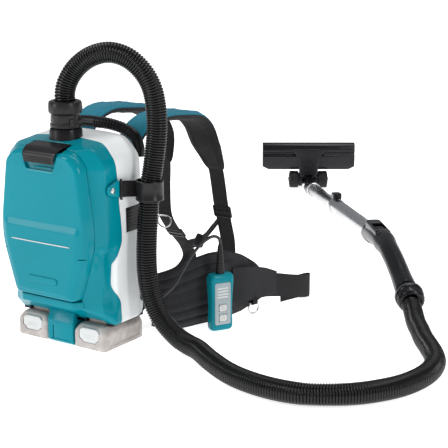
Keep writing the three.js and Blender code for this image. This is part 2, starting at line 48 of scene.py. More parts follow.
# ---------------------------------------------------------------- camera, floor and light
def make_camera():
    """The studio view: front right of the pack, a little above it."""
    data = bpy.data.cameras.new("camera")
    data.sensor_width = 36
    data.lens = 104.46
    data.clip_start, data.clip_end = 0.05, 50
    camera = bpy.data.objects.new("camera", data)
    camera.location = (1.5297, -1.8066, 0.8054)
    camera.rotation_euler = (math.radians(90 - 14.05), 0, math.radians(33.66))
    bpy.context.scene.collection.objects.link(camera)
    bpy.context.scene.camera = camera


def area_light(name, location, target, size, power, colour=(1, 1, 1)):
    data = bpy.data.lights.new(name, "AREA")
    data.shape = "RECTANGLE"
    data.size, data.size_y = size
    data.energy = power
    data.color = colour
    light = bpy.data.objects.new(name, data)
    light.location = location
    light.rotation_euler = (Vector(target) - Vector(location)).to_track_quat("-Z", "Y").to_euler()
    bpy.context.scene.collection.objects.link(light)


def make_studio():
    world = bpy.data.worlds.new("studio")
    world.use_nodes = True
    background = world.node_tree.nodes["Background"]
    background.inputs["Color"].default_value = (0.93, 0.96, 1, 1)
    background.inputs["Strength"].default_value = 0.34
    scene = bpy.context.scene
    scene.world = world
    scene.view_settings.view_transform = "Standard"
    middle = (0.2, 0.5, 0.2)
    area_light("key_light", (-1.5, -2.2, 2.7), middle, (1.3, 1.0), 58)
    area_light("low_light", (-1.9, -2.6, 0.7), (0, -0.1, 0.2), (1.2, 0.7), 17)
    area_light("right_light", (3.2, -0.4, 1.5), (0.1, 0.1, 0.2), (0.6, 1.8), 34)
    area_light("top_light", (0.3, 1.2, 3.2), middle, (2.2, 1.6), 46)

    bm = bmesh.new()
    bmesh.ops.create_grid(bm, x_segments=2, y_segments=2, size=30)
    mesh = bpy.data.meshes.new("floor")
    bm.to_mesh(mesh)
    bm.free()
    floor = bpy.data.objects.new("floor", mesh)
    floor.location = (0, 0, -0.0006)
    bpy.context.scene.collection.objects.link(floor)
    paint = bpy.data.materials.new("floor_white")
    paint.use_nodes = True
    shader = paint.node_tree.nodes["Principled BSDF"]
    shader.inputs["Base Color"].default_value = (0.97, 0.97, 0.97, 1)
    shader.inputs["Roughness"].default_value = 0.9
    shader.inputs["Specular IOR Level"].default_value = 0.1
    shader.inputs["Emission Color"].default_value = (1, 1, 1, 1)
    shader.inputs["Emission Strength"].default_value = 0.8
    mesh.materials.append(paint)


# ---------------------------------------------------------------- materials
class Shader:
    """A material whose nodes are added one call at a time."""

    def __init__(self, name):
        self.material = bpy.data.materials.new(name)
        self.material.use_nodes = True
        self.tree = self.material.node_tree
        self.bsdf = self.tree.nodes["Principled BSDF"]
        self.place = self.add("ShaderNodeTexCoord").outputs["Object"]

    def add(self, kind, inputs=None, **settings):
        node = self.tree.nodes.new(kind)
        for key, value in settings.items():
            setattr(node, key, value)
        for key, value in (inputs or {}).items():
            self.put(node.inputs[key], value)
        return node

    def put(self, socket, value):
        if isinstance(value, bpy.types.NodeSocket):
            self.tree.links.new(value, socket)
        else:
            socket.default_value = value

    def set(self, **values):
        for key, value in values.items():
            self.put(self.bsdf.inputs[key.replace("_", " ")], value)

    def noise(self, scale, detail=2, roughness=0.5, place=None, stretch=None):
        place = place or self.place
        if stretch:
            place = self.add("ShaderNodeMapping", {"Vector": place, "Scale": stretch}).outputs[0]
        return self.add("ShaderNodeTexNoise", {
            "Vector": place, "Scale": scale, "Detail": detail, "Roughness": roughness,
        }).outputs["Fac"]

    def map(self, value, low, high, out_low=0.0, out_high=1.0):
        return self.add("ShaderNodeMapRange", {
            "Value": value, "From Min": low, "From Max": high, "To Min": out_low, "To Max": out_high,
        }).outputs["Result"]

    def math(self, kind, a, b=0.0):
        return self.add("ShaderNodeMath", {0: a, 1: b}, operation=kind).outputs[0]

    def mix(self, factor, a, b):
        node = self.add("ShaderNodeMix", {0: factor}, data_type="RGBA")
        self.put(node.inputs[6], a if isinstance(a, bpy.types.NodeSocket) else (*a, 1))
        self.put(node.inputs[7], b if isinstance(b, bpy.types.NodeSocket) else (*b, 1))
        return node.outputs[2]

    def bump(self, height, distance, strength=1.0, under=None):
        node = self.add("ShaderNodeBump", {"Height": height, "Distance": distance, "Strength": strength})
        if under:
            self.put(node.inputs["Normal"], under)
        return node.outputs[0]

    def weave_height(self, pitch):
        """Crossed threads over the UV map named weave, whose unit is a metre."""
        uv = self.add("ShaderNodeUVMap", uv_map="weave").outputs[0]
        split = self.add("ShaderNodeSeparateXYZ", {"Vector": uv})
        turn = TAU / pitch
        across = self.math("SINE", self.math("MULTIPLY", split.outputs[0], turn))
        along = self.math("SINE", self.math("MULTIPLY", split.outputs[1], turn))
        return self.math("MULTIPLY", across, along)


def shade(colour, factor):
    return tuple(min(1.0, c * factor) for c in colour)


def plastic(name, colour, roughness, grain=900, grain_height=0.00005, coat=0.0, wear=0.35, shine=0.35):
    """Moulded plastic: faint colour drift, fine grain, uneven gloss and paler worn edges."""
    s = Shader(name)
    drift = s.noise(7, 3)
    base = s.mix(s.map(drift, 0.3, 0.7), shade(colour, 0.93), shade(colour, 1.06))
    edge = s.add("ShaderNodeNewGeometry").outputs["Pointiness"]
    scuffs = s.math("MULTIPLY", s.map(edge, 0.52, 0.6, 0, wear), s.map(s.noise(60, 3), 0.45, 0.65))
    base = s.mix(scuffs, base, shade(tuple(c + 0.05 for c in colour), 1.5))
    fine = s.noise(grain, 2)
    gloss = s.map(s.noise(26, 4), 0.3, 0.7, roughness * 0.85, roughness * 1.2)
    s.set(Base_Color=base, Roughness=gloss, Normal=s.bump(fine, grain_height, 0.6))
    s.set(Coat_Weight=coat, Coat_Roughness=0.12, Specular_IOR_Level=shine)
    return s.material


def rubber(name, colour, roughness):
    """Soft black plastic: satin, with dust caught in the low places."""
    s = Shader(name)
    edge = s.add("ShaderNodeNewGeometry").outputs["Pointiness"]
    dust = s.math("MULTIPLY", s.map(edge, 0.49, 0.42), s.map(s.noise(30, 3), 0.4, 0.7, 0, 0.5))
    base = s.mix(dust, colour, shade(tuple(c + 0.02 for c in colour), 2.2))
    gloss = s.map(s.noise(40, 3), 0.3, 0.7, roughness * 0.8, roughness * 1.2)
    s.set(Base_Color=base, Roughness=gloss, Normal=s.bump(s.noise(1500, 2), 0.00004, 0.5))
    s.set(Specular_IOR_Level=0.28)
    return s.material


def cloth(name, colour, weave=900, fuzz=0.25, pitch=None):
    """Woven fabric: threads whose crowns carry a painted highlight, uneven dye, soft creases and a faint nap.
    """
    s = Shader(name)
    if pitch:
        threads = s.weave_height(pitch)
        light = s.map(threads, -1, 1)
    else:
        waves = [
            s.add("ShaderNodeTexWave", {"Vector": s.place, "Scale": weave, "Distortion": 0.6},
                  bands_direction=axis).outputs["Fac"] for axis in ("X", "Z")
        ]
        threads = s.math("MULTIPLY", *waves)
        light = threads
    dye = s.mix(s.map(s.noise(11, 4), 0.3, 0.7), shade(colour, 0.8), shade(colour, 1.15))
    # Painted highlight: the crowns of the threads are coloured paler, as if lit, on top of the dye.
    base = s.mix(s.math("MULTIPLY", light, 0.35), dye, shade(tuple(c + 0.012 for c in colour), 1.9))
    creases = s.bump(s.noise(24, 3), 0.0016, 0.45)
    s.set(Base_Color=base, Roughness=0.86, Normal=s.bump(threads, 0.00025, 0.8, creases))
    s.set(Sheen_Weight=fuzz, Sheen_Roughness=0.5, Specular_IOR_Level=0.2)
    return s.material


def metal(name, colour, roughness, stretch=(1, 1, 1)):
    """Drawn or polished metal: fine lines along the work and small smudges."""
    s = Shader(name)
    uv = s.add("ShaderNodeUVMap", uv_map="weave").outputs[0]
    lines = s.noise(60, 3, place=uv, stretch=stretch)
    base = s.mix(s.map(lines, 0.3, 0.7), shade(colour, 0.86), shade(colour, 1.06))
    gloss = s.map(s.noise(18, 4), 0.3, 0.7, roughness * 0.75, roughness * 1.35)
    s.set(Base_Color=base, Metallic=1.0, Roughness=gloss, Normal=s.bump(lines, 0.00004, 0.35))
    return s.material


TEAL = (0.0005, 0.22, 0.275)
MATERIALS = {
    "teal": plastic("teal_plastic", TEAL, 0.16, 1400, 0.00002, 0.03, 0, 0.13),
    "white": plastic("white_plastic", (0.78, 0.8, 0.8), 0.34, 1400, 0.00003, 0.08, 0),
    "button": plastic("button_plastic", (0.62, 0.62, 0.61), 0.4, wear=0),
    "black": plastic("black_plastic", (0.004, 0.004, 0.005), 0.32, 1100, 0.00006, wear=0.08, shine=0.22),
    "dark": plastic("dark_plastic", (0.013, 0.012, 0.013), 0.3, 1000, 0.00006, wear=0.1, shine=0.25),
    "satin": plastic("satin_black_plastic", (0.004, 0.004, 0.006), 0.26, 1100, 0.00006, wear=0.1, shine=0.28),
    "pale": plastic("pale_plastic", (0.42, 0.38, 0.36), 0.42),
    "panel": plastic("panel_plastic", (0.34, 0.4, 0.42), 0.38),
    "hose": rubber("hose_rubber", (0.004, 0.004, 0.004), 0.24),
    "tyre": rubber("wheel_rubber", (0.008, 0.008, 0.009), 0.55),
    "cable": rubber("cable_rubber", (0.03, 0.03, 0.032), 0.4),
    "cloth": cloth("black_cloth", (0.007, 0.007, 0.008), fuzz=0.06),
    "webbing": cloth("black_webbing", (0.011, 0.011, 0.012), fuzz=0.05, pitch=0.0024),
    "belt": cloth("belt_cloth", (0.016, 0.016, 0.018), fuzz=0.08, pitch=0.0016),
    "teal_cloth": cloth("teal_cloth", (0.004, 0.15, 0.22), fuzz=0.1, pitch=0.0013),
    "lining": cloth("lining_cloth", (0.009, 0.009, 0.01), fuzz=0.05, pitch=0.003),
    "foam": cloth("mesh_foam", (0.012, 0.012, 0.013), 420, 0.06),
    "chrome": metal("tube_chrome", (0.5, 0.5, 0.51), 0.24, (9, 0.4, 1)),
    "steel": metal("ring_steel", (0.6, 0.6, 0.6), 0.24),
    "paper": cloth("filter_paper", (0.78, 0.74, 0.64), 200, 0.1),
    "copper": plastic("motor_can", (0.35, 0.17, 0.08), 0.4),
    "board": plastic("board_green", (0.01, 0.1, 0.04), 0.4),
}


# ---------------------------------------------------------------- paths
def smooth_path(points, per_span=16):
    """A centripetal Catmull-Rom line through the points, as a fine polyline."""
    points = [Vector(p) for p in points]
    points = [2 * points[0] - points[1], *points, 2 * points[-1] - points[-2]]
    line = []
    for i in range(1, len(points) - 2):
        p0, p1, p2, p3 = points[i - 1:i + 3]
        d0, d1, d2 = (max((b - a).length, 1e-9) ** 0.5 for a, b in ((p0, p1), (p1, p2), (p2, p3)))
        m1 = ((p1 - p0) / d0 - (p2 - p0) / (d0 + d1) + (p2 - p1) / d1) * d1
        m2 = ((p2 - p1) / d1 - (p3 - p1) / (d1 + d2) + (p3 - p2) / d2) * d1
        for k in range(per_span):
            t = k / per_span
            line.append(
                p1 * (2 * t**3 - 3 * t**2 + 1) + m1 * (t**3 - 2 * t**2 + t)
                + p2 * (3 * t**2 - 2 * t**3) + m2 * (t**3 - t**2)
            )
    line.append(points[-2])
    return line


def lengths(line):
    total = [0.0]
    for a, b in zip(line, line[1:]):
        total.append(total[-1] + (b - a).length)
    return total


def spaced(line, count):
    """count + 1 points at equal distances along a polyline."""
    total = lengths(line)
    out, i = [], 0
    for k in range(count + 1):
        target = total[-1] * k / count
        while i < len(line) - 2 and total[i + 1] < target:
            i += 1
        span = total[i + 1] - total[i]
        out.append(line[i].lerp(line[i + 1], (target - total[i]) / span if span else 0))
    return out


def lerp_list(values, t):
    """Linear interpolation in a list of equal tuples or numbers, t from 0 to 1."""
    k = min(t * (len(values) - 1), len(values) - 1.000001)
    a, b, f = values[int(k)], values[int(k) + 1], k % 1
    if isinstance(a, (int, float)):
        return a + (b - a) * f
    return tuple(x + (y - x) * f for x, y in zip(a, b))


def smoothstep(low, high, value):
    t = min(1.0, max(0.0, (value - low) / (high - low)))
    return t * t * (3 - 2 * t)


def tangents(points):
    last = len(points) - 1
    return [(points[min(i + 1, last)] - points[max(i - 1, 0)]).normalized() for i in range(last + 1)]


def sweep_rings(points, section):
    """Rings round a path that don't twist; section(t) lists offsets across it."""
    rings = []
    directions = tangents(points)
    normal = directions[0].orthogonal().normalized()
    for i, (p, tangent) in enumerate(zip(points, directions)):
        normal = (normal - tangent * normal.dot(tangent)).normalized()
        side = tangent.cross(normal)
        rings.append([p + normal * a + side * b for a, b in section(i / (len(points) - 1))])
    return rings


def ribbon_rings(points, across, section):
    """Rings of a strap whose width lies along `across`; section(t) lists (across, outward) offsets."""
    rings = []
    for i, (p, tangent) in enumerate(zip(points, tangents(points))):
        outward = Vector(across).cross(tangent).normalized()
        rings.append([p + Vector(across) * a + outward * b for a, b in section(i / (len(points) - 1))])
    return rings


def circle(r, sides=24):
    return [(r * math.cos(TAU * k / sides), r * math.sin(TAU * k / sides)) for k in range(sides)]


def superellipse(w, h, sides=36, power=2.6):
    """A flat, softly rounded section of width w and thickness h."""
    out = []
    for k in range(sides):
        c, s = math.cos(TAU * k / sides), math.sin(TAU * k / sides)
        out.append((
            math.copysign(abs(c) ** (2 / power), c) * w / 2,
            math.copysign(abs(s) ** (2 / power), s) * h / 2,
        ))
    return out


# ---------------------------------------------------------------- meshes
def loft(rings, caps=True, loop=False):
    """Vertices, faces and a UV for each face corner, through rings of equal counts."""
    count = len(rings[0])
    verts = [Vector(p) for ring in rings for p in ring]
    widest = max(rings, key=lambda r: (r[0] - r[count // 2]).length)
    u = lengths([*widest, widest[0]])
    centres = [sum(ring, Vector()) / count for ring in rings]
    v = lengths([*centres, centres[0]] if loop else centres)
    faces, uvs = [], []
    last = len(rings) if loop else len(rings) - 1
    for i in range(last):
        n = (i + 1) % len(rings)
        for j in range(count):
            k = (j + 1) % count
            faces.append((i * count + j, i * count + k, n * count + k, n * count + j))
            uvs.append([(u[j], v[i]), (u[j + 1], v[i]), (u[j + 1], v[i + 1]), (u[j], v[i + 1])])
    if caps and not loop:
        for start, order in ((0, -1), ((len(rings) - 1) * count, 1)):
            faces.append(tuple(range(start, start + count))[::order])
            uvs.append([(u[j], v[0]) for j in range(count)][::order])
    return verts, faces, uvs


def merge(*parts):
    verts, faces, uvs = [], [], []
    for part in parts:
        first = len(verts)
        verts += part[0]
        faces += [tuple(i + first for i in face) for face in part[1]]
        uvs += part[2]
    return verts, faces, uvs


def moved(part, matrix):
    return [matrix @ Vector(v) for v in part[0]], part[1], part[2]


def shift(part, x, y, z):
    return moved(part, Matrix.Translation((x, y, z)))


def lathe(profile, sides=56, closed=False):
    """A turned body about +Z from [radius, z]; a closed profile makes a ring or tube."""
    rings = [[Vector((x, y, z)) for x, y in circle(r, sides)] for r, z in profile]
    return loft(rings, caps=not closed, loop=closed)


def arc_point(start, corner, end, t):
    """A point of the curve that rounds a corner."""
    return start * (1 - t) ** 2 + corner * 2 * t * (1 - t) + end * t * t


def rounded(corners, steps=5):
    """A closed outline from corners (x, y, radius)."""
    out = []
    n = len(corners)
    for i, (x, y, r) in enumerate(corners):
        corner = Vector((x, y))
        if r == 0:
            out.append(corner)
            continue
        start, end = (
            corner.lerp(q, min(0.5, r / (q - corner).length))
            for q in (Vector(corners[i - 1][:2]), Vector(corners[(i + 1) % n][:2]))
        )
        for k in range(steps + 1):
            t = k / steps
            out.append(arc_point(start, corner, end, t))
    return out


def rectangle(w, h, r):
    return [(-w / 2, -h / 2, r), (w / 2, -h / 2, r), (w / 2, h / 2, r), (-w / 2, h / 2, r)]


def prism(outline, depth, edge=0.0, steps=3):
    """An outline pulled up +Z from 0 to depth, its two rims rounded by `edge`."""
    outline = [Vector((p[0], p[1])) for p in outline]
    n = len(outline)
    area = sum(a.x * b.y - b.x * a.y for a, b in zip(outline, [*outline[1:], outline[0]]))
    sign = 1 if area > 0 else -1
    normals = []
    for i in range(n):
        along = outline[(i + 1) % n] - outline[i - 1]
        normals.append(Vector((along.y, -along.x)).normalized() * sign)
    levels = [(0.0, 0.0), (0.0, depth)]
    if edge:
        turn = [k / steps * math.pi / 2 for k in range(steps + 1)]
        levels = [(edge * (1 - math.sin(a)), edge * (1 - math.cos(a))) for a in turn]
        levels += [(inset, depth - z) for inset, z in reversed(levels)]
    rings = [[Vector((*(p - normal * inset), z)) for p, normal in zip(outline, normals)]
             for inset, z in levels]
    return loft(rings)


def upright(part):
    """Turns a prism so that its outline stands in XZ and its depth runs to +Y."""
    return moved(part, Matrix(((1, 0, 0, 0), (0, 0, 1, 0), (0, 1, 0, 0), (0, 0, 0, 1))))


def sideways(part):
    """Turns a prism drawn in (y, z) so that its depth runs to +X."""
    return moved(part, Matrix(((0, 0, 1, 0), (1, 0, 0, 0), (0, 1, 0, 0), (0, 0, 0, 1))))


def plate(w, h, r, depth, edge=0.0):
    """A rounded rectangle standing in XZ, its depth running to +Y."""
    return upright(prism(rounded(rectangle(w, h, r)), depth, edge))


def along_x(part):
    return moved(part, Matrix.Rotation(math.pi / 2, 4, "Y"))


def new_object(name, part, sharp=38):
    verts, faces, uvs = part
    mesh = bpy.data.meshes.new(name)
    mesh.from_pydata([v * MM for v in verts], [], faces)
    layer = mesh.uv_layers.new(name="weave")
    flat = [c * MM for face in uvs for corner in face for c in corner]
    layer.data.foreach_set("uv", flat)
    bm = bmesh.new()
    bm.from_mesh(mesh)
    bmesh.ops.recalc_face_normals(bm, faces=bm.faces)
    bm.to_mesh(mesh)
    bm.free()
    obj = bpy.data.objects.new(name, mesh)
    bpy.context.scene.collection.objects.link(obj)
    smooth(obj, sharp)
    return obj


def smooth(obj, sharp=38):
    obj.data.polygons.foreach_set("use_smooth", [True] * len(obj.data.polygons))
    obj.data.set_sharp_from_angle(angle=math.radians(sharp))


def bake(obj):
    """Applies the object's modifiers to its mesh."""
    shape = obj.evaluated_get(bpy.context.evaluated_depsgraph_get())
    mesh = bpy.data.meshes.new_from_object(shape)
    obj.modifiers.clear()
    obj.data = mesh


def carry(obj, place):
    """Moves an object's mesh by a matrix written in millimetres."""
    obj.data.transform(Matrix.Scale(MM, 4) @ place @ Matrix.Scale(1 / MM, 4))


def drop(obj):
    mesh = obj.data
    bpy.data.objects.remove(obj)
    bpy.data.meshes.remove(mesh)


def carve(obj, *parts, sharp=38):
    """Cuts shapes out of an object."""
    cutters = [new_object("cutter", part) for part in parts]
    for cutter in cutters:
        modifier = obj.modifiers.new("cut", "BOOLEAN")
        modifier.object = cutter
        modifier.operation = "DIFFERENCE"
        modifier.solver = "EXACT"
    bake(obj)
    for cutter in cutters:
        drop(cutter)
    smooth(obj, sharp)


def mould(obj, voxel, rounds=3):
    """Melts overlapping bodies into one moulded skin."""
    remesh = obj.modifiers.new("melt", "REMESH")
    remesh.mode = "VOXEL"
    remesh.voxel_size = voxel * MM
    ease = obj.modifiers.new("ease", "SMOOTH")
    ease.factor = 0.5
    ease.iterations = rounds
    bake(obj)
    smooth(obj, 60)


def ease_edges(obj, width, sharp=32):
    """Adds a narrow bevel to the edges sharper than an angle."""
    bevel = obj.modifiers.new("edges", "BEVEL")
    bevel.width = width * MM
    bevel.segments = 2
    bevel.limit_method = "ANGLE"
    bevel.angle_limit = math.radians(sharp)


def soften(obj, width, sharp=32):
    ease_edges(obj, width, sharp)
    bake(obj)
    smooth(obj, sharp)


def dress(obj, finish, body="root", replaces=()):
    """Gives a new piece its material, its body and the nodes that it stands for."""
    obj.data.materials.clear()
    obj.data.materials.append(MATERIALS[finish])
    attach(obj, body)
    if replaces:
        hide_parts(*replaces)
    return obj


def piece(name, part, finish, body="root", replaces=(), sharp=38):
    return dress(new_object(name, part, sharp), finish, body, replaces)


def paint_node(node, finish, width=0.0):
    """Keeps a CAD node and gives it a finish and softened edges."""
    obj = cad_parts[node]
    obj.data.materials.clear()
    obj.data.materials.append(MATERIALS[finish])
    if not obj.data.uv_layers.get("weave"):
        obj.data.uv_layers.new(name="weave")
    if width:
        ease_edges(obj, width)
    smooth(obj, 32)


# ---------------------------------------------------------------- hose and cable
HOSE_PATH = [
    (0, -0.027, 0.4534), (0, -0.027, 0.464), (0.004, -0.0245, 0.484), (0.018, -0.0165, 0.51),
    (0.045, -0.0065, 0.532), (0.078, 0.0045, 0.541), (0.109, 0.016, 0.533), (0.134, 0.026, 0.511),
    (0.149, 0.034, 0.482), (0.155, 0.039, 0.445), (0.1555, 0.04, 0.402), (0.152, 0.035, 0.35),
    (0.149, 0.025, 0.296), (0.149, 0.018, 0.24), (0.149, 0.013, 0.186), (0.151, 0.012, 0.14),
    (0.158, 0.015, 0.098), (0.178, 0.018, 0.058), (0.214, 0.017, 0.03), (0.24, 0.013, 0.0228),
    (0.264, 0.006, 0.021), (0.318, -0.03, 0.021), (0.379, -0.064, 0.021), (0.43, -0.08, 0.021),
    (0.482, -0.085, 0.021), (0.53, -0.078, 0.021), (0.57, -0.057, 0.021), (0.605, -0.028, 0.021),
    (0.631, 0.007, 0.021), (0.65, 0.045, 0.021), (0.66, 0.088, 0.021), (0.661, 0.132, 0.021),
    (0.651, 0.176, 0.021), (0.632, 0.212, 0.021), (0.606, 0.248, 0.021), (0.579, 0.283, 0.021),
    (0.553, 0.322, 0.021), (0.528, 0.358, 0.022), (0.505, 0.394, 0.0275), (0.495, 0.409, 0.0312),
    (0.4869, 0.4186, 0.0344),
]
CABLE_PATH = [
    (0.136, 0.046, 0.084), (0.143, 0.0465, 0.084), (0.155, 0.054, 0.09), (0.165, 0.076, 0.106),
    (0.17, 0.094, 0.128), (0.175, 0.112, 0.15), (0.181, 0.13, 0.169), (0.189, 0.147, 0.182),
    (0.197, 0.16, 0.187), (0.202, 0.169, 0.182), (0.203, 0.172, 0.174), (0.203, 0.172, 0.1694),
]
HOSE = {"diameter": 0.038, "groove": 2.4, "pitch": 4.8, "sides": 28}
CABLE_DIAMETER = 0.006


def make_cords():
    line = smooth_path(HOSE_PATH)
    length = lengths(line)[-1]
    ribs = round(length / (HOSE["pitch"] * MM))
    crown, root = HOSE["diameter"] / MM / 2, HOSE["diameter"] / MM / 2 - HOSE["groove"]
    radii = [root, crown - 0.25, crown, crown - 0.25]
    points = [p / MM for p in spaced(line, ribs * len(radii))]
    count = len(points) - 1
    hose = new_object("suction_hose", loft(sweep_rings(
        points, lambda t: circle(radii[round(t * count) % len(radii)], HOSE["sides"]))), 80)
    dress(hose, "hose", replaces=["vacuum_hose"])
    [tuple(p) for p in spaced(line, 160)]

    line = smooth_path(CABLE_PATH)
    length = lengths(line)[-1]
    points = [p / MM for p in spaced(line, 90)]
    cable = new_object("control_cable", loft(sweep_rings(
        points, lambda t: circle(CABLE_DIAMETER / MM / 2, 16))), 80)
    dress(cable, "cable", replaces=["remote_cable"])
    [tuple(p) for p in spaced(line, 60)]


# ---------------------------------------------------------------- pack housings
# Half widths and heights of one section of the pack: foot, waist and shoulder, as in the frame.
SHELL_KEYS = [  # y, foot, foot height, waist, waist height, shoulder, top, top corner
    (-79, 68, 84, 104, 190, 86, 370, 28), (-59, 106, 69, 115, 150, 113, 375, 36),
    (-34, 115, 47, 115, 130, 112, 378, 38), (-20, 115, 47, 115, 130, 112, 380, 38),
    (30, 115, 47, 115, 130, 113, 384, 40), (46, 112, 49, 112, 130, 109, 382, 40),
    (56, 104, 53, 104, 130, 102, 375, 38),
]
SEAM = [  # height, depth of the joint between the teal and white housings
    (53, -20), (85, -21), (124, -40), (157, -39), (209, -15), (312, -23), (351, -26), (400, -22),
]
WAIST_TOP = 240
FRONT_Y, MIDDLE_Y, BACK_Y = -79, -20, 50
WALL, SEAM_GAP = 3, 0.6


def shell_values(y):
    keys = SHELL_KEYS
    if y <= keys[0][0]:
        return keys[0][1:]
    for a, b in zip(keys, keys[1:]):
        if y <= b[0]:
            f = (y - a[0]) / (b[0] - a[0])
            return tuple(p + (q - p) * f for p, q in zip(a[1:], b[1:]))
    return keys[-1][1:]


def half_outline(values, inset=0.0, steps=10, sides=8):
    """The right side of a section, from the foot's flat to the top's flat, as (x, z)."""
    foot, foot_z, waist, waist_z, shoulder, top, top_r = values
    cut = 0.7 * top_r
    lean = (shoulder - waist) * (top - cut - WAIST_TOP) / (top - WAIST_TOP)
    corners = [
        (0, foot_z + inset, 0), (foot - inset, foot_z + inset, 10), (waist - inset, waist_z, 24),
        (waist - inset, WAIST_TOP, 20), (waist + lean - inset, top - cut - inset, 0.35 * top_r),
        (shoulder - cut - inset, top - inset, 0.35 * top_r), (0, top - inset, 0),
    ]
    out = []
    for i in range(1, 6):
        x, z, r = corners[i]
        corner = Vector((x, z))
        start, end = (
            corner.lerp(Vector(q[:2]), r / (Vector(q[:2]) - corner).length)
            for q in (corners[i - 1], corners[i + 1])
        )
        if out:
            out += [out[-1].lerp(start, k / sides) for k in range(1, sides)]
        out += [arc_point(start, corner, end, k / steps) for k in range(steps + 1)]
    return out


def crowned(x, y, z):
    """A point of the pack's shell, lifted where the roof rises to its middle."""
    rise = 8 * min(1, (y + 108) / 28) * max(0, 1 - (x / 100) ** 2)
    return Vector((x, y, z + rise * smoothstep(322, 362, z)))


def full_outline(values, inset=0.0, flats=10):
    """A whole section, counter-clockwise from the middle of the foot, as (x, z)."""
    side = half_outline(values, inset)
    foot, top = side[0], side[-1]
    right = [Vector((foot.x * k / flats, foot.y)) for k in range(flats)]
    right += side + [Vector((top.x * (1 - k / flats), top.y)) for k in range(1, flats)]
    left = [Vector((-p.x, p.y)) for p in right[:0:-1]]
    return right + [Vector((0, top.y))] + left


def seam_y(z):
    for (z0, y0), (z1, y1) in zip(SEAM, SEAM[1:]):
        if z <= z1:
            return y0 + (y1 - y0) * smoothstep(z0, z1, z)
    return SEAM[-1][1]


def scoop(p, y, depth=9.0):
    """The hollow in the side below the waist, in front of the seam."""
    upper = smoothstep(202, 184, p.y) * smoothstep(66, 108, p.y)
    front = smoothstep(-84, -66, y) * smoothstep(-30, -42, y)
    return Vector((p.x * (1 - depth * upper * front / 115), p.y))


def shell_rings(y_from, y_to, inset, count, seam_at, gap=0.0):
    """Rings from one depth to another; the end at the seam follows the seam's curve."""
    rings = []
    for i in range(count + 1):
        y = y_from + (y_to - y_from) * i / count
        outline = full_outline(shell_values(y), inset)
        ring = []
        for j, p in enumerate(outline):
            near = i / count if seam_at == "end" else 1 - i / count
            bent = y + (seam_y(p.y) + gap - (y_to if seam_at == "end" else y_from)) * near
            q = full_outline_point(bent, inset, j)
            q = scoop(q, bent)
            ring.append(crowned(q.x, bent, q.y))
        rings.append(ring)
    return rings


OUTLINES = {}


def full_outline_point(y, inset, index):
    """One point of the section at a depth, kept for each tenth of a millimetre."""
    key = (round(y, 1), inset)
    if key not in OUTLINES:
        OUTLINES[key] = full_outline(shell_values(key[0]), inset)
    return OUTLINES[key][index]


def brick(w, d, h, x, y, z):
    """A plain box centred at x, y, z, used as a cutter."""
    return shift(prism([(-w / 2, -d / 2), (w / 2, -d / 2), (w / 2, d / 2), (-w / 2, d / 2)], h),
                 x, y, z - h / 2)


BATTERY_X = 68.5
INLET_Y = -27


def make_housings():
    dock_space = brick(216.8, 90.8, 30, 0, 8, 43.2)
    rail_ways = [brick(47.4, 30, 40, x, -40, 35.6) for x in (-BATTERY_X, BATTERY_X)]
    inlet_seat = shift(lathe([(30.7, 0), (30.7, 40)], 48), 0, INLET_Y, 373)
    outer, inner = (shell_rings(FRONT_Y, MIDDLE_Y, inset, 26, "end") for inset in (0, WALL))
    front = new_object("front_shell", loft(outer + inner[::-1], loop=True), 26)
    carve(front, inlet_seat, brick(90, 40, 30, 0, -80, 382), dock_space, *rail_ways, sharp=26)
    soften(front, 0.7, 30)
    dress(front, "teal", replaces=["front_housing"])
    lip = rounded([(-62, -94, 7), (62, -94, 7), (74, -80, 3), (74, -66, 2), (-74, -66, 2), (-74, -80, 3)])
    piece("front_lip", shift(prism(lip, 13.4, 1.2), 0, 0, 84.2), "teal", sharp=30)

    outer, inner = (shell_rings(MIDDLE_Y, BACK_Y, inset, 22, "start", SEAM_GAP) for inset in (0, WALL))
    edge = []
    for k in range(1, 7):
        a = k / 6 * math.pi / 2
        section = full_outline(shell_values(BACK_Y), 7 * (1 - math.cos(a)))
        edge.append([crowned(p.x, BACK_Y + 6 * math.sin(a), p.y) for p in section])
    rear = new_object("rear_shell", loft(inner[::-1] + outer + edge), 30)
    carve(rear, inlet_seat, dock_space, brick(14, 46, 46, 114, 21, 240),
          shift(along_x(lathe([(8.2, 0), (8.2, 30)])), 100, 46, 84), sharp=30)
    soften(rear, 0.7, 32)
    dress(rear, "white", replaces=["rear_housing"])

    slats = [brick(1.6, 40, 3.2, 0, 0, z) for z in (-15, -9, -3, 3, 9, 15)]
    grille = prism(rounded(rectangle(44, 44, 3)), 3, 0.5)
    vent = new_object("side_vent", merge(
        shift(sideways(grille), 112.6, 21, 240),
        *[shift(slat, 115.4, 21, 240) for slat in slats],
    ))
    dress(vent, "dark", replaces=["outlet_grille"])


# ---------------------------------------------------------------- dust cover and latch
FACE_Y = -102
COVER_KEYS = [  # y, then the values of a section
    (-80, 72, 100, 104, 196, 86, 368, 28), (-91, 70.4, 100, 102, 196, 83.6, 367.2, 27),
    (-97.6, 68.4, 101, 98.4, 197.4, 81.2, 366, 26), (-100.6, 66, 103, 95, 199, 78.6, 363.6, 24),
    (FACE_Y, 63.6, 105.6, 92.6, 200, 76.4, 361, 22),
]
STEP = {"top": 243, "bottom": 229, "proud": 3.6, "side": 10}


def face_depth(x, z, half_width):
    """How far the cover's front stands proud of its plane: a low crown and the lower panel."""
    lower = min(1, max(0, (STEP["top"] - z) / (STEP["top"] - STEP["bottom"])))
    taper = 1 - 0.6 * smoothstep(STEP["bottom"], 106, z)
    side = min(1, max(0, (half_width - abs(x)) / STEP["side"]))
    crown = 1.6 * (1 - (x / 100) ** 2)
    rim = smoothstep(105.6, 114, z) * smoothstep(361, 350, z)
    return (STEP["proud"] * lower * taper + crown * smoothstep(361, 330, z)) * side * rim


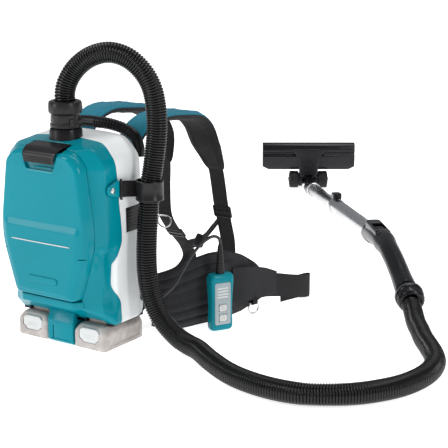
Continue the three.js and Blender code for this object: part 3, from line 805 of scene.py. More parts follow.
def on_cover(x0, x1, z, height, thick, count=48):
    """A raised band across the cover's front that follows its face."""
    rings = []
    for i in range(count + 1):
        x = x0 + (x1 - x0) * i / count
        end = math.sqrt(min(1, i / 2.5, (count - i) / 2.5) + 0.02)
        y = FACE_Y - face_depth(x, z, 92) - 0.2
        rings.append([Vector((x, y + b, z + a)) for a, b in superellipse(height * end, thick, 20, 4)])
    return loft(rings)


def make_cover():
    base = COVER_KEYS[-1][1:]
    face = half_outline(base)
    levels = sorted({round(p.y, 2) for p in face} | {STEP["top"], STEP["bottom"], 236, 232, 240})

    def rows(values):
        """The side's points at the levels of the front face, carried to this section."""
        side = half_outline(values)
        out = []
        for z in levels:
            i = next((i for i in range(len(face) - 1) if face[i].y <= z <= face[i + 1].y + 1e-6), 0)
            span = face[i + 1].y - face[i].y
            f = (z - face[i].y) / span if span > 1e-6 else 0
            out.append(side[i].lerp(side[i + 1], f))
        return out

    columns = 40
    fractions = [math.sin((2 * k / columns - 1) * math.pi / 2 * 0.92) / math.sin(math.pi / 2 * 0.92)
                 for k in range(columns + 1)]

    def ring(values, y):
        side = rows(values)
        low, high = side[0], side[-1]
        out = [Vector((low.x * f, y, low.y)) for f in fractions[:-1]]
        out += [Vector((p.x, y, p.y)) for p in side[:-1]]
        out += [Vector((high.x * f, y, high.y)) for f in reversed(fractions[1:])]
        return out + [Vector((-p.x, y, p.y)) for p in reversed(side[1:])]

    rings = [ring(k[1:], k[0]) for k in COVER_KEYS]
    inner = [ring((66, 104, 95, 198, 79, 363, 24), -94.6), ring((69, 103, 101, 196, 83, 365, 25), -80)]
    part = loft(inner + rings, caps=False)
    verts, faces, uvs = part
    count = len(rings[0])
    faces.append(tuple(range(count)))
    uvs.append([(0, 0)] * count)

    side = rows(base)
    grid = []
    for p in side:
        grid.append([Vector((p.x * f, FACE_Y - face_depth(p.x * f, p.y, p.x), p.y)) for f in fractions])
    first = len(verts)
    verts += [v for row in grid for v in row]
    width = columns + 1
    for i in range(len(grid) - 1):
        for j in range(columns):
            a = first + i * width + j
            faces.append((a, a + 1, a + width + 1, a + width))
            uvs.append([(verts[k].x, verts[k].z) for k in faces[-1]])
    part = [crowned(*v) for v in verts], faces, uvs
    cover = new_object("cover_shell", part, 24)
    bm = bmesh.new()
    bm.from_mesh(cover.data)
    bmesh.ops.remove_doubles(bm, verts=bm.verts, dist=0.02 * MM)
    bmesh.ops.recalc_face_normals(bm, faces=bm.faces)
    bm.to_mesh(cover.data)
    bm.free()
    pocket = upright(prism(rounded([(-44, 375, 0), (44, 375, 0), (36.5, 350, 3), (31, 337, 3),
                                    (-31, 337, 3), (-36.5, 350, 3)]), 20))
    carve(cover, shift(pocket, 0, -116, 0), brick(88, 30, 30, 0, -90, 384.5),
          *[brick(17, 16, 1.8, sign * 92, -101, 184) for sign in (-1, 1)], sharp=24)
    soften(cover, 0.6, 30)
    dress(cover, "teal", "cover", ["dust_cover"])

    piece("cover_line", on_cover(-70, 69, 204.5, 1.8, 1.2), "button", "cover")
    piece("cover_badge_panel", on_cover(-32, 36, 134.5, 12, 4.6), "teal", "cover", sharp=60)
    lip = prism(rounded(rectangle(46, 2.4, 1)), 3, 0.6)
    piece("pocket_lip", shift(upright(lip), 5, -100.4, 341.5), "teal", "cover")


def make_latch():
    """The dark catch: a plate bent over the cover's top edge, narrower at its tip."""
    spine = rounded([(-62, 380, 0), (-91, 376.4, 7), (-104, 368, 6), (-104.4, 350, 0)], 8)
    spine = spaced([Vector((p.x, p.y, 0)) for p in spine], 30)
    rings = []
    for i, p in enumerate(spine):
        t = i / 30
        a, b = spine[max(i - 1, 0)], spine[min(i + 1, 30)]
        out = Vector(((a - b).y, (b - a).x)).normalized()
        half = 41 - 6 * smoothstep(0.35, 1, t)
        thick = 2.6 - 0.9 * t
        ring = superellipse(2 * half, thick, 44, 9)
        rings.append([Vector((x, p.x + out.x * h, p.y + out.y * h)) for x, h in ring])
    ribs = [
        shift(plate(56, 1.1, 0.5, 1.4, 0.3), 0, -106.3, z)
        for z in (352, 354.8, 357.6, 360.4)
    ]
    piece("latch_plate", merge(loft(rings), *ribs), "dark", "latch", ["cover_latch"], 40)


# ---------------------------------------------------------------- inlet
def make_inlet():
    y = INLET_Y
    collar = lathe([(14, 350), (18, 350), (18, 376), (30, 376), (30, 398), (28.6, 402.4), (26, 403.8),
                    (14, 403.8)], 72, closed=True)
    piece("inlet_base", shift(collar, 0, y, 0), "black", "root", ["inlet_collar"])
    profile = [(14, 404.4), (27.6, 404.4), (28.4, 405.4), (28.4, 411), (27, 412.6), (27, 414),
               (27.6, 415), (26.8, 428), (28.6, 430), (30.4, 431.6), (30.8, 433), (30.8, 447),
               (29.6, 451), (26.5, 452.8), (20.5, 453), (20, 446), (14, 446)]
    grips = [moved(shift(prism(rounded(rectangle(3.2, 1.2, 0.5)), 11, 0.4), 0, -30.7, 434.6),
                   Matrix.Rotation(TAU * k / 12, 4, "Z")) for k in range(12)]
    cuff = merge(lathe(profile, 72, closed=True), *grips)
    piece("pack_cuff_ring", shift(cuff, 0, y, 0), "dark", "pack_cuff", ["pack_cuff"])
    clip = prism(rounded([(-5, 0, 1), (5, 0, 1), (4, 15, 2), (-4, 15, 2)]), 5, 1)
    tab = moved(shift(upright(clip), 0, -31.5, 407), Matrix.Rotation(math.radians(64), 4, "Z"))
    piece("cuff_clip", shift(tab, 0, y, 0), "dark", "pack_cuff")


def make_carry_handle():
    path = smooth_path([
        (-93, 68, 345), (-93, 68, 362), (-86, 66, 381), (-66, 63, 393), (-34, 61, 400), (0, 61, 401),
        (34, 61, 400), (66, 63, 393), (86, 66, 381), (93, 68, 362), (93, 68, 345),
    ])
    points = spaced(path, 240)

    def section(t):
        grip = smoothstep(0.16, 0.2, t) * smoothstep(0.84, 0.8, t)
        rib = 1.1 * grip * math.sin(t * 240 * TAU / 6) if t > 0.5 else 0.0
        return superellipse(20.8 + rib, 20.4 + rib, 28, 2.4)

    piece("carry_grip", loft(sweep_rings(points, section)), "black", "root", ["carry_handle"], 70)


# ---------------------------------------------------------------- hose holder
def make_hose_holder():
    lug = prism(rounded([(-16, -7, 6), (15, -17, 5), (15, 17, 5), (-16, 7, 6)]), 6.4, 1.6)
    piece("holder_lug", shift(sideways(lug), 115.2, -42, 304), "teal", "root", ["hose_lug"])
    head = lathe([(0.5, 0), (5.2, 0), (5.2, 1.6), (4.4, 2.8), (3, 3), (2.8, 1.8), (0.5, 1.8)], 40)
    piece("holder_screw", shift(along_x(head), 121.8, -48, 304), "steel", "root", ["lug_screw"])
    sleeve = lathe([(23, -18), (25.2, -18), (25.8, -17.2), (25.8, -14.5), (25.2, -13.6), (25.2, 13.6),
                    (25.8, 14.5), (25.8, 17.2), (25.2, 18), (23, 18)], 72, closed=True)
    points = spaced(smooth_path([(117.8, -24, 302), (121, -10, 301), (124, 4, 299), (129, 16, 298)]), 24)
    arm = loft(ribbon_rings(points, UP, lambda t: superellipse(30, 4.2, 32, 5)))
    pin = shift(lathe([(2.6, 0), (2.6, 36), (1.5, 38)], 20), 121.5, -23, 283.5)
    ties = [shift(prism(rounded(rectangle(2.4, 9, 1)), 26, 0.6), 120.6 + k, -14 + 8 * k, 288) for k in (0, 1)]
    piece("holder_band", merge(shift(sleeve, 149, 25, 296), arm, pin, *ties), "dark", "root", ["hose_band"])


# ---------------------------------------------------------------- batteries
def battery_shape():
    """A slide-on battery about its own centre line: sloped front top and rounded sides; make_batteries joins
    the rail on.
    """
    w, front, back, top = 37, -60, 56, 45
    rings = []
    for z, side, nose, tail in [
        (0, 2.5, 3, 2), (1, 1, 1.2, 0.8), (3, 0, 0.2, 0), (20, 0, 0, 0), (21, 0, 0, 0), (29, 0, 0.4, 0),
        (33, 0.6, 1.2, 0), (37, 2.6, 3.6, 0.2), (41, 5, 6.4, 0.8), (44, 7.4, 9, 1.8), (top, 9, 11, 3),
    ]:
        rings.append(battery_ring(w - side, front + nose, back - tail, z))
    return loft(rings)


def battery_ring(half, front, back, z):
    corners = [(-half, front, 9), (half, front, 9), (half, back, 6), (-half, back, 6)]
    return [Vector((p.x, p.y, z)) for p in rounded(corners, 7)]


def battery_slab(half, front, back, low, high):
    return loft([battery_ring(half, front, back, z) for z in (low, high)])


def make_batteries():
    for side, sign in SIDES:
        x = sign * BATTERY_X
        body = new_object(f"battery_case_{side}", battery_shape(), 40)
        rail = shift(prism(rounded(rectangle(46, 78, 2)), 10, 0.8), 0, 8, 44)
        rail_object = new_object("rail", rail)
        join = body.modifiers.new("join", "BOOLEAN")
        join.object, join.operation, join.solver = rail_object, "UNION", "EXACT"
        bake(body)
        drop(rail_object)
        seam = battery_slab(38, -61, 57, 30.2, 31)
        core = battery_slab(36.4, -59.2, 55.4, 29.6, 31.6)
        ring = new_object("seam", seam)
        carve(ring, core)
        sides = [tuple(p.vertices) for p in ring.data.polygons]
        groove = [v.co / MM for v in ring.data.vertices], sides, [[(0, 0)] * len(f) for f in sides]
        drop(ring)
        socket = shift(upright(prism(rounded(BUTTON_OUTLINE), 22)), 0, -68, 0)
        label = sideways(prism(rounded([(-42, 8, 2), (44, 8, 2), (44, 38, 2), (-42, 38, 2)]), 3))
        carve(body, groove, socket, shift(label, 36.4, 0, 0), sharp=34)
        body.data.transform(Matrix.Translation((x * MM, 0, 0)))
        soften(body, 0.5, 34)
        dress(body, "pale", f"battery_{side}", [f"battery_{side}"])
        make_battery_button(side, x)
        gauge = lathe([(0.3, 0), (1.5, 0), (1.5, 0.8), (0.3, 1.1)], 20)
        gauge = moved(gauge, Matrix.Rotation(math.pi / 2, 4, "X"))
        piece(f"battery_gauge_{side}", shift(gauge, x + 26, -59.7, 22), "button", f"battery_{side}")


BUTTON_OUTLINE = [(-15, 13, 2), (15, 13, 2), (18, 18, 2), (24, 20, 3), (24, 35, 3), (17, 41, 3),
                  (-17, 41, 3), (-24, 35, 3), (-24, 20, 3), (-18, 18, 2)]


def make_battery_button(side, x):
    outline = rounded([(p[0] * 0.96, 27 + (p[1] - 27) * 0.96, p[2]) for p in BUTTON_OUTLINE])
    cap = prism(outline, 7, 1.2)
    ridges = [shift(plate(24, 1.2, 0.5, 1.4, 0.3), 0, -59.8, z)
              for z in (21.5, 24.5, 27.5)]
    part = merge(shift(upright(cap), 0, -59.4, 0), *ridges)
    piece(f"release_button_{side}", shift(part, x, 0, 0), "button", f"button_{side}",
          [f"battery_button_{side}"])


def make_bridge():
    """The block between the batteries: a sloped shelf over a stepped front."""
    outline = rounded([(-60, 6, 3), (-56, 0.4, 3), (46, 0.4, 2), (46, 45, 0), (-44, 45, 2), (-46, 62, 2),
                       (-52, 63, 2), (-60, 42, 2)], 4)
    bridge = new_object("centre_block", shift(sideways(prism(outline, 60, 1.2)), -30, 0, 0), 30)
    carve(bridge, brick(2.2, 6, 26, -17, -60, 20), brick(40, 5, 6, 2, -60.5, 1.5), sharp=30)
    soften(bridge, 0.5, 34)
    dress(bridge, "teal", replaces=["battery_bridge"])
    rib = shift(plate(46, 3, 1, 2, 0.5), 0, -61, 6)
    piece("centre_block_rib", rib, "teal")


# ---------------------------------------------------------------- harness
STRAPS = {  # (y, z) of each pad and its webbing, and the webbing span that carries the slider
    "left": {
        "pad": [(152, 407), (215, 403), (280, 392), (328, 365), (352, 322), (358, 270)],
        "webbing": [(358.6, 262), (357, 214), (362, 156), (386, 121), (413, 93), (441, 64), (455, 38),
                    (438, 20), (380, 16), (300, 26), (190, 42), (130, 54), (96, 62)],
        "slider": 3,
    },
    "right": {
        "pad": [(152, 404), (215, 400), (268, 390), (300, 367), (325, 326), (350, 288), (362, 268)],
        "webbing": [(364, 262), (372, 231), (380, 195), (394, 150), (408, 100), (404, 60), (350, 30),
                    (280, 26), (190, 42), (130, 54), (96, 62)],
        "slider": 2,
    },
}
STRAP_SIZES = [(46, 12), (60, 14), (74, 16), (76, 18), (76, 18), (72, 16), (46, 12)]
STRAP_X = 65
SECTION_SIDES = 64


def two_tone(obj, upper, lower, count):
    """Gives the outward half of each ring one finish and the inward half another."""
    obj.data.materials.clear()
    obj.data.materials.append(MATERIALS[upper])
    obj.data.materials.append(MATERIALS[lower])
    for i, polygon in enumerate(obj.data.polygons):
        polygon.material_index = 0 if (i % count) < count // 2 else 1


def edge_tube(rings, index, r, sides=10):
    """Piping that follows one point of each ring."""
    line = [ring[index] for ring in rings]
    return loft(sweep_rings(line, lambda t: circle(r, sides)))


def flat_strap(name, path, count, across, width, thick, replaces=(), finish="webbing", sides=24, power=8):
    """A flat strap along a path; its width is one number, or a list from start to end."""
    widths = width if isinstance(width, list) else [width, width]
    points = spaced(smooth_path(path), count)
    rings = ribbon_rings(points, across, lambda t: superellipse(lerp_list(widths, t), thick, sides, power))
    piece(name, loft(rings), finish, "root", replaces, 60)


def make_straps():
    for side, sign in SIDES:
        x = sign * STRAP_X
        shape = STRAPS[side]
        path = [(sign * 56, 80, 332), (sign * 58, 86, 364), (sign * 62, 106, 390),
                *[(x, y, z) for y, z in shape["pad"]]]
        points = spaced(smooth_path(path), 120)

        def section(t):
            w, h = lerp_list(STRAP_SIZES, t)
            end = min(1, t / 0.03, (1 - t) / 0.03)
            w *= 0.8 + 0.2 * math.sqrt(end)
            h = 3 + (h - 3) * math.sqrt(end)
            out = []
            for a, b in superellipse(w - 4, h, SECTION_SIDES, 3.0):
                groove = math.exp(-(((abs(a) - w * 0.3) / 2.2) ** 2)) * 2.0
                wrinkle = 0.5 * math.sin(t * 70 + a * 0.08) * math.sin(t * 23 + sign)
                b += math.copysign(min(abs(b), wrinkle - groove if abs(b) > 3 else 0), b) if b else 0
                out.append((a, b))
            return out

        rings = ribbon_rings(points, (1, 0, 0), section)
        strap = new_object(f"shoulder_pad_{side}", loft(rings), 80)
        dress(strap, "teal_cloth", "root", [f"shoulder_strap_{side}"])
        two_tone(strap, "teal_cloth", "lining", SECTION_SIDES)
        for edge, index in (("outer", 0), ("inner", SECTION_SIDES // 2)):
            piece(f"strap_piping_{edge}_{side}", edge_tube(rings, index, 2.2), "webbing")

        (y1, z1), (y2, z2) = shape["pad"][-2:]
        webbing = [(x, y2 + 0.45 * (y1 - y2), z2 + 0.45 * (z1 - z2))]
        webbing += [(sign * (STRAP_X + min(14, max(0, 3 * (i - 5)))), y, z)
                    for i, (y, z) in enumerate(shape["webbing"])]
        flat_strap(f"webbing_{side}", webbing, 150, (1, 0, 0), 36, 2.6, [f"strap_webbing_{side}"], sides=28)
        make_slider(side, x, shape["webbing"][shape["slider"]:][:2])


def make_slider(side, x, webbing):
    """A ladder lock: a frame with a bar, on the webbing."""
    (y0, z0), (y1, z1) = webbing
    frame_part = prism(rounded(rectangle(43, 27, 4)), 6, 1.4)
    slider = new_object(f"ladder_lock_{side}", shift(frame_part, 0, 0, -3), 34)
    carve(slider, shift(prism(rounded(rectangle(36, 7, 1.5)), 20), 0, 6.4, -10),
          shift(prism(rounded(rectangle(36, 7, 1.5)), 20), 0, -6.4, -10), sharp=34)
    tilt = math.atan2(y1 - y0, z0 - z1)
    turn = Matrix.Rotation(tilt, 4, "X") @ Matrix.Rotation(math.pi / 2, 4, "X")
    slider.data.transform(Matrix.Translation(Vector((x, (y0 + y1) / 2, (z0 + z1) / 2)) * MM) @ turn)
    dress(slider, "black", "root", [f"strap_slider_{side}"])


WING_SIZES = [(104, 18), (122, 19), (134, 19), (140, 19), (138, 18), (118, 16), (84, 14), (34, 8)]
WING_CHANNELS = 7


def make_belt():
    for side, sign in SIDES:
        path = [(sign * x, y, z) for x, y, z in (
            (106, 82, 66), (121, 91, 64), (138, 112, 66), (156, 158, 72), (172, 205, 74),
            (187, 255, 70), (198, 305, 60), (204, 342, 46))]
        points = spaced(smooth_path(path), 130)

        def section(t):
            w, h = lerp_list(WING_SIZES, t)
            tip = min(1, (1 - t) / 0.04, t / 0.02)
            h = 2.5 + (h - 2.5) * math.sqrt(tip)
            quilt = smoothstep(0.66, 0.56, t)
            out = []
            for a, b in superellipse(w - 5, h, SECTION_SIDES * 2, 2.8):
                phase = (a / w + 0.5) * WING_CHANNELS
                off = ((phase + 0.5) % 1 - 0.5) * w / WING_CHANNELS / 3.0
                valley = 3.6 * quilt * math.exp(-(off ** 2))
                crease = 1.2 * math.sin(t * 46 + a * 0.07) * math.sin(t * 17 + a * 0.03)
                cut = min(abs(b) * 0.8, valley + max(0, crease))
                out.append((a, b - math.copysign(cut, b)))
            return out

        rings = ribbon_rings(points, UP, section)
        wing = new_object(f"belt_pad_{side}", loft(rings), 80)
        dress(wing, "belt", "root", [f"belt_wing_{side}"])
        for edge, index in (("upper", 0), ("lower", SECTION_SIDES)):
            piece(f"belt_piping_{edge}_{side}", edge_tube(rings, index, 2.4), "webbing")

    loop = [(203, 262, 62), (213, 300, 58), (224, 345, 50), (234, 390, 38), (240, 425, 30), (241, 446, 27),
            (236, 456, 26), (230, 450, 26), (226, 425, 27), (222, 395, 29), (218, 372, 30)]
    flat_strap("waist_loop", loop, 150, UP, 49, 2.2, ["waist_webbing"], sides=28)

    panel = [(191, 234, 70), (204.6, 262, 69), (214.8, 300, 64.5), (225.2, 342, 57)]
    widths = [72, 70, 67, 60, 46]
    flat_strap("belt_end_panel", panel, 70, UP, widths, 3.4, finish="belt", sides=48, power=7)

    chest = [(-54, 424, 74), (-40, 417, 80), (-22, 408, 87), (-4, 400, 95), (14, 394, 107), (30, 390, 124),
             (40, 391, 136), (52, 394, 152)]
    across = Vector((0, 0.45, 0.89)).normalized()
    flat_strap("chest_webbing", chest, 90, across, 22, 2.2, ["chest_strap"])
    buckle = shift(plate(28, 28, 5, 9, 2.4), 0, -4.5, 0)
    place = (Matrix.Translation((-2, 399.5, 97)) @ Matrix.Rotation(-0.37, 4, "Z")
             @ Matrix.Rotation(-0.47, 4, "X"))
    piece("chest_clasp", moved(buckle, place), "black", "root", ["chest_buckle"])


def ring_part(r, wire, flat=0.25):
    """A D-ring of round wire standing in XZ, its flat side up."""
    line = [Vector((x, 0, max(-r, min(r * (1 - flat), z)))) for x, z in circle(r, 60)]
    rings = []
    for i, p in enumerate(line):
        tangent = (line[(i + 1) % len(line)] - line[i - 1]).normalized()
        out = tangent.cross(Vector((0, 1, 0)))
        rings.append([p + out * a + Vector((0, b, 0)) for a, b in circle(wire, 14)])
    return loft(rings, loop=True)


def make_rings():
    place = Matrix.Translation((-65, 359, 141)) @ Matrix.Rotation(0.25, 4, "Z")
    piece("strap_d_ring", moved(ring_part(15, 1.7), place), "steel")
    turn = Matrix.Translation((209, 283, 16)) @ Matrix.Rotation(math.radians(90 - 18), 4, "Z")
    piece("waist_d_ring", moved(ring_part(12.4, 1.6), turn), "steel", "waist_ring", ["waist_ring"])
    make_ring_tab()


def make_ring_tab():
    """A folded webbing tab that holds the flat bar of the waist ring and leaves it room to swing."""
    pivot = Vector((209, 283, 28.5))
    bar = Vector((0.309, 0.951, 0)).normalized()
    outward = bar.cross(Vector((0, 0, 1)))
    side = [(2.6, 19), (2.8, 10), (6, 2.5), (6, -1.5), (3.6, -5.1)]
    fold = side + [(0, -6.2)] + [(-u, z) for u, z in reversed(side)]
    path = [pivot + outward * u + Vector((0, 0, z)) for u, z in fold]
    flat_strap("waist_ring_tab", path, 60, bar, 11, 1.3)


def pad_shape(w, h, r, depth, channels, vertical=True):
    """A crowned pad standing in XZ with sewn channels on its wearer's side, which faces +Y."""
    outline = rounded(rectangle(w, h, r), 10)
    rings = []
    for inset, y in ((3, 0), (0.6, 1.5), (0, depth * 0.35), (1.2, depth * 0.62), (4, depth * 0.82)):
        scale = Vector((1 - 2 * inset / w, 1 - 2 * inset / h))
        rings.append([Vector((p.x * scale.x, y, p.y * scale.y)) for p in outline])
    face = []
    for k in range(1, 26):
        f = 1 - k / 25.5
        ring = []
        for p in outline:
            x, z = p.x * (1 - 8 / w) * f, p.y * (1 - 8 / h) * f
            c = (x / w if vertical else z / h) * channels
            valley = math.exp(-((((c + 0.5) % 1 - 0.5) * (w if vertical else h) / channels / 3.2) ** 2))
            y = depth * (0.82 + 0.18 * math.sqrt(max(0, 1 - f**3))) - 4.5 * valley * (1 - f**6)
            ring.append(Vector((x, y, z)))
        face.append(ring)
    return loft(rings + face)


def make_back():
    back = new_object("back_cushion", shift(pad_shape(150, 180, 30, 20, 4), 0, 63.8, 232), 80)
    dress(back, "foam", "root", ["back_pad"])
    lumbar = new_object("lumbar_cushion", shift(pad_shape(196, 96, 26, 24, 3, False), 0, 63.8, 84), 80)
    dress(lumbar, "cloth", "root", ["lumbar_pad"])


# ---------------------------------------------------------------- remote control
KEYS = {"power": 26, "mode": 46}  # height of each key on the remote


def make_remote():
    place = Matrix.Translation((203, 172, 1)) @ Matrix.Rotation(math.radians(60), 4, "Z")
    rings = []
    for z, w, d in ((0, 38, 16), (1.2, 42, 20), (3.5, 45, 23), (9, 46.5, 25), (40, 44, 25), (70, 46, 25.5),
                    (96, 49.5, 26), (105, 49, 26), (109, 47, 24), (111, 43, 21), (112, 37, 16)):
        rings.append([Vector((p.x, p.y, z)) for p in rounded(rectangle(w, d, 8), 8)])
    smooth_rings = []
    for a, b in zip(rings, rings[1:]):
        smooth_rings += [[p.lerp(q, k / 3) for p, q in zip(a, b)] for k in range(3)]
    body = new_object("remote_case", loft(smooth_rings + [rings[-1]]), 60)
    carve(body, shift(plate(34, 84, 4, 6), 0, -17.6, 54),
          *[brick(16.4, 10, 14.4, 0, -11, z) for z in KEYS.values()], sharp=40)
    carry(body, place)
    dress(body, "teal", "root", ["remote_body"])

    face = new_object("remote_face", shift(plate(33, 83, 3.6, 1.4, 0.4), 0, -12.8, 54), 38)
    carve(face, *[brick(16.4, 6, 14.4, 0, -12, z) for z in KEYS.values()],
          shift(plate(26, 26, 2, 1.0), 0, -13.3, 76))
    carry(face, place)
    dress(face, "panel", "root", ["remote_panel"])
    bars = [shift(plate(23, 3, 0.8, 0.6, 0.2), 0, -12.7, 67 + 5.8 * k) for k in range(4)]
    piece("remote_gauge", moved(merge(*bars), place), "button")
    for name, z in KEYS.items():
        cap = prism(rounded(rectangle(15.2, 13.2, 3)), 4.2, 1.0)
        mark = shift(ring_part(3.2, 0.45, 0), 0, -14.5, z)
        part = merge(shift(upright(cap), 0, -14.3, z), mark)
        piece(f"remote_key_{name}", moved(part, place), "button", f"remote_{name}", [f"remote_button_{name}"])
    profile = [(0.2, 112.2), (8, 112.2), (8.4, 113.4), (8.4, 121), (7.6, 124)]
    for k in range(9):
        z = 126 + 4.4 * k
        r = 7.5 - 0.32 * k
        profile += [(r, z), (r, z + 2.6), (r - 0.9, z + 3), (r - 0.9, z + 4)]
    profile += [(4.3, 167), (0.2, 168)]
    piece("remote_strain_relief", moved(lathe(profile, 32), place), "dark", "root", ["remote_gland"])


def make_cable_gland():
    profile = [(0.2, 0), (8, 0), (8, 4.4), (7.2, 5.4)]
    for k in range(4):
        r, z = 6.4 - 0.45 * k, 4 * k
        profile += [(r, 6 + z), (r, 8.4 + z), (5.3 - 0.4 * k, 8.8 + z)]
    profile += [(4.2, 22), (0.2, 22)]
    piece("gland_boot", shift(along_x(lathe(profile, 32)), 113.5, 46, 84), "black", "root", ["cable_gland"])


# ---------------------------------------------------------------- wand
WAND = Matrix.Translation((-224, 1272, 0)) @ Matrix.Rotation(math.radians(-49.96), 4, "Z")
TUBE_RISE, TUBE_RUN = 62, 732
TUBE_FOOT = 22  # height of the tubes' axis at the elbow
HEAD_TURN = math.radians(33.66 + 49.96)
PITCH = math.atan2(TUBE_RISE, TUBE_RUN)
TUBE_LENGTH = math.hypot(TUBE_RISE, TUBE_RUN)
TUBES = WAND @ Matrix.Translation((0, 0, TUBE_FOOT)) @ Matrix.Rotation(-PITCH, 4, "Y")
TUBE_SEAT = Matrix.Translation((0, 0, TUBE_FOOT)) @ Matrix.Rotation(-PITCH, 4, "Y")
STEP_AT = 321 / math.cos(PITCH)


def pitched(part):
    """Turns a part drawn along X to the rise of the tubes."""
    return moved(part, Matrix.Rotation(-PITCH, 4, "Y"))


def make_tubes():
    def pipe(profile):
        return moved(along_x(lathe(profile, 72, closed=True)), TUBES)

    inner_end = STEP_AT + 109
    piece("wand_inner_tube", pipe([(15, 2), (16.2, 2), (16.5, 2.6), (16.5, inner_end), (15, inner_end)]),
          "chrome", "inner_tube", ["inner_tube"])
    piece("wand_outer_tube", pipe([
        (17.4, STEP_AT), (18.6, STEP_AT), (19.2, STEP_AT + 1), (20.2, STEP_AT + 3), (20.2, STEP_AT + 10),
        (19.5, STEP_AT + 13), (19.5, TUBE_LENGTH), (18, TUBE_LENGTH), (18, STEP_AT + 14),
    ]), "chrome", "root", ["outer_tube"])
    ring = [(16.8, 15.2), (19, 15.2), (19.8, 16), (19.8, 27), (18.4, 28.4), (16.8, 28.4)]
    piece("wand_end_ring", pipe(ring), "steel", "inner_tube")

    outline = rounded([(-17, -11, 5), (14, -11, 5), (17, -7, 4), (17, 7, 4), (14, 11, 5), (-17, 11, 5)])
    clip = new_object("wand_lock", shift(prism(outline, 15, 2.5), STEP_AT + 17, 0, 19.8), 40)
    carve(clip, shift(prism(rounded(rectangle(15, 12, 3)), 6), STEP_AT + 15, 0, 31.6))
    soften(clip, 0.6, 36)
    carry(clip, TUBES)
    dress(clip, "black", "tube_lock", ["tube_lock"])
    saddle = along_x(lathe([(19.7, 5), (21, 6), (21, 30), (20.4, 31), (19.7, 31)], 72, closed=True))
    piece("wand_lock_sleeve", moved(shift(saddle, STEP_AT, 0, 0), TUBES), "steel")


HANDLE_PATH = [
    (732, 84), (770, 89.5), (805, 93), (845, 95.5), (892, 92), (939, 83), (990, 69), (1034, 55), (1058, 48.5),
]


def make_handle():
    """The moulded grip: a socket round the tube, a hump with the air slide, then the arch."""
    points = spaced(smooth_path([(s, 0, z) for s, z in HANDLE_PATH]), 90)

    def section(t):
        s = 732 + 326 * t
        w = 44 - 4 * smoothstep(800, 860, s) - 3 * smoothstep(900, 960, s) + 5 * smoothstep(1000, 1050, s)
        h = 44 - 3 * smoothstep(800, 860, s) + 3 * smoothstep(1000, 1050, s)
        h += 7 * math.exp(-(((s - 858) / 24) ** 2))
        return superellipse(h, w, 40, 2.3)

    body = loft(sweep_rings(points, section))
    hump = prism(rounded(rectangle(112, 35, 12), 8), 28, 7)
    hump = shift(hump, 799, 0, 90)
    nose = along_x(lathe([(0.5, 0), (21, 0), (22.8, 3), (22.8, 26), (22, 34), (0.5, 34)], 48))
    nose = shift(pitched(nose), 729, 0, 83.6)
    grip = new_object("wand_grip", merge(body, hump, nose), 60)
    mould(grip, 1.3, 4)
    carve(grip, brick(46, 25, 16, 808, 0, 116.6), brick(30, 60, 2, 862, 0, 60),
          shift(along_x(lathe([(15.5, 0), (15.5, 60)])), 1040, 0, 50),
          shift(pitched(along_x(lathe([(19.9, 0), (19.9, 40)]))), 700, 0, 81.2),
          sharp=44)
    carry(grip, WAND)
    dress(grip, "satin", "root", ["wand_handle"])

    slide = prism(rounded(rectangle(20, 22.6, 3)), 5.4, 1.2)
    teeth = [shift(prism(rounded([(-0.8, -8, 0.5), (0.8, -8, 0.5), (0.8, 8, 0.5), (-0.8, 8, 0.5)]), 2, 0.5),
                   dx, 0, 4.6) for dx in (-6, -3, 0, 3, 6)]
    piece("air_slide", moved(shift(merge(slide, *teeth), 806, 0, 107.9), WAND), "dark", "slider",
          ["suction_slider"])

    profile = [(15.2, 0.4), (20.4, 0.4), (20.4, 5), (22.4, 7), (24.8, 11), (28, 14.5), (29, 16.2), (29, 18.6),
               (28.2, 19.2), (28.2, 20.4), (29, 21), (29, 24), (27.4, 26.6), (26.2, 28), (26.2, 41),
               (24.6, 43.5), (20.4, 45.6), (19.6, 45.6), (19.6, 40), (15.2, 40)]
    cuff = lathe(profile, 72, closed=True)
    teeth = [moved(shift(prism(rounded(rectangle(2.4, 1.6, 0.7)), 11, 0.4), 0, -26.3, 29),
                   Matrix.Rotation(TAU * k / 24, 4, "Z")) for k in range(24)]
    place = WAND @ Matrix.Translation((1060, 0, 47.6)) @ Matrix.Rotation(math.radians(14), 4, "Y")
    piece("hose_cuff", moved(along_x(merge(cuff, *teeth)), place), "satin", "handle_cuff", ["handle_cuff"])
    band = lathe([(28.4, 19.3), (28.9, 19.3), (28.9, 20.3), (28.4, 20.3)], 72, closed=True)
    piece("hose_cuff_line", moved(along_x(band), place), "steel", "handle_cuff")


# ---------------------------------------------------------------- floor head
HEAD = WAND @ Matrix.Translation((-120, 8, 24)) @ Matrix.Rotation(HEAD_TURN, 4, "Z")
HEAD_WIDTH = 262


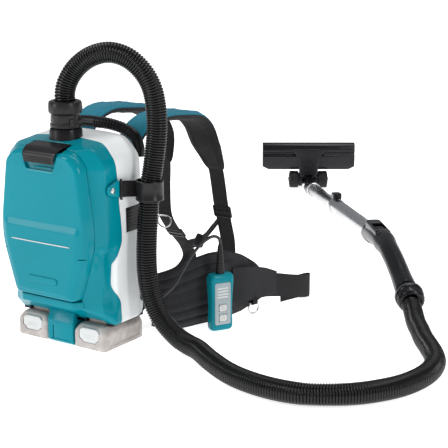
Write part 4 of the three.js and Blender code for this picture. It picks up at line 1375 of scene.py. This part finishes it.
def make_head():
    profile = rounded([
        (20, 30, 3), (20, 100, 4), (8, 106, 4), (-8, 106, 4), (-16, 98, 5), (-17.6, 84, 3), (-13, 79, 2),
        (-13, 75, 2), (-17.6, 70, 3), (-15, 46, 6), (-6, 29, 4),
    ], 5)
    bar = new_object("head_bar", shift(sideways(prism(profile, HEAD_WIDTH, 1.5)), -HEAD_WIDTH / 2, 0, 0), 30)
    wedges = [shift(moved(brick(60, 90, 30, 0, 0, 0), Matrix.Rotation(sign * math.radians(-29), 4, "Y")),
                    sign * 131, 0, 22) for sign in (-1, 1)]
    carve(bar, *wedges, sharp=30)
    neck = upright(prism(rounded([(-26, 14, 4), (26, 14, 4), (28, 62, 20), (50, 92, 8), (-50, 92, 8),
                                  (-28, 62, 20)], 8), 22, 3))
    barrel = lathe([(0.5, 0), (15, 0), (16, 1.5), (16, 50), (15, 51.5), (0.5, 51.5)], 48)
    axle_housing = shift(along_x(barrel), -25.7, 0, 0)
    bridge = shift(plate(51, 36, 6, 24, 3), 0, -18, 17)
    cheek = along_x(lathe([(0.5, 0), (19, 0), (20, 1), (20, 9.6), (19, 10.6), (0.5, 10.6)], 48))
    hub = new_object("head_neck", merge(shift(neck, 0, -24, 0), bridge, axle_housing,
                                        shift(cheek, 16.5, 0, 0), shift(cheek, -27.1, 0, 0)), 40)
    mould(hub, 1.2, 4)
    carve(hub, shift(along_x(lathe([(14.6, 0), (14.6, 32.6)], 40)), -16.3, 0, 0),
          brick(32.6, 40, 29.2, 0, -14, -8), sharp=50)
    ribs = [shift(plate(1.7, 44, 0.8, 2.4, 0.6), dx, -25.4, 38)
            for dx in (-20, -15, -10, -5, 0, 5, 10, 15, 20)]
    axle = shift(along_x(lathe([(0.4, 0), (5, 0), (5, 32), (4, 33), (0.4, 33)], 32)), 25, 0, 0)
    axle_left = shift(along_x(lathe([(0.4, 0), (4, 0), (5, 1), (5, 33), (0.4, 33)], 32)), -58, 0, 0)
    for obj in (bar, hub):
        carry(obj, HEAD)
    dress(bar, "satin", "head", ["nozzle_head"])
    dress(hub, "satin", "head")
    piece("head_ribs", moved(merge(*ribs), HEAD), "black", "head")
    piece("head_axles", moved(merge(axle, axle_left), HEAD), "steel", "head")

    sole = new_object("head_sole", shift(plate(HEAD_WIDTH - 14, 66, 4, 3.5, 0.6),
                                         0, 20.5, 66), 36)
    carve(sole, shift(plate(HEAD_WIDTH - 50, 16, 5, 3), 0, 22.6, 72))
    carry(sole, HEAD)
    dress(sole, "dark", "head", ["nozzle_sole"])

    tread = [(5.3, 0.4), (15, 0.4), (16.4, 1.6), (18, 3), (21, 3), (22.2, 2), (23.2, 3), (24, 5.2), (24, 9),
             (23.3, 9.6), (23.3, 10.6), (24, 11.2), (24, 16.8), (23.3, 17.4), (23.3, 18.4), (24, 19),
             (24, 23), (23, 26), (21, 27.6), (5.3, 27.6)]
    for side, sign in SIDES:
        wheel = along_x(lathe(tread, 56, closed=True))
        if sign < 0:
            wheel = shift(wheel, -55.5, 0, 0)
        else:
            wheel = moved(wheel, Matrix.Translation((55.5, 0, 0)) @ Matrix.Rotation(math.pi, 4, "Z"))
        piece(f"head_wheel_{side}", moved(wheel, HEAD), "tyre", f"wheel_{side}", [f"wheel_{side}"])


def make_elbow():
    path = [(-118, 8, 24), (-90, 6.5, 24), (-55, 3, 22.8), (-20, 0.3, 20.6), (-4, 0, 20.6)]
    points = spaced(smooth_path(path), 40)
    pipe = loft(sweep_rings(points, lambda t: circle(13.8, 36)))
    knuckle = along_x(lathe([(0.5, 0), (13, 0), (14, 1), (14, 30), (13, 31), (0.5, 31)], 40))
    knuckle = moved(shift(knuckle, -15.5, 0, 0), Matrix.Translation((-120, 8, 24))
                    @ Matrix.Rotation(HEAD_TURN, 4, "Z"))
    profile = [(0.5, -46), (15, -46), (18.6, -35), (19.6, -24), (19.6, 10.6), (18.8, 12), (0.5, 12)]
    cuff = moved(along_x(lathe(profile, 56)), TUBE_SEAT)
    elbow = new_object("head_elbow", merge(pipe, knuckle, cuff), 60)
    mould(elbow, 1.1, 3)
    bore = along_x(lathe([(16.8, 0.2), (16.8, 40)], 56))
    carve(elbow, moved(bore, TUBE_SEAT), sharp=50)
    carry(elbow, WAND)
    dress(elbow, "satin", "elbow", ["nozzle_elbow"])


def paint_kept_nodes():
    """The inner and hidden parts keep their frame shapes and get finishes and eased edges."""
    for node, finish, width in (
        ("chamber_wall", "dark", 0.5), ("hinge_pin", "steel", 0), ("dust_bag", "paper", 0),
        ("hepa_filter", "paper", 0.6), ("suction_motor", "copper", 1.2), ("fan_impeller", "steel", 0.3),
        ("controller_board", "board", 0.3), ("battery_dock", "black", 0.8), ("back_plate", "black", 1.2),
    ):
        paint_node(node, finish, width)


for make in (
    make_camera, make_cords, make_studio, make_housings, make_cover, make_latch, make_inlet,
    make_carry_handle, make_hose_holder, make_batteries, make_bridge, make_straps, make_belt,
    make_rings, make_back, make_remote, make_cable_gland, make_tubes, make_handle, make_head,
    make_elbow, paint_kept_nodes,
):
    make()
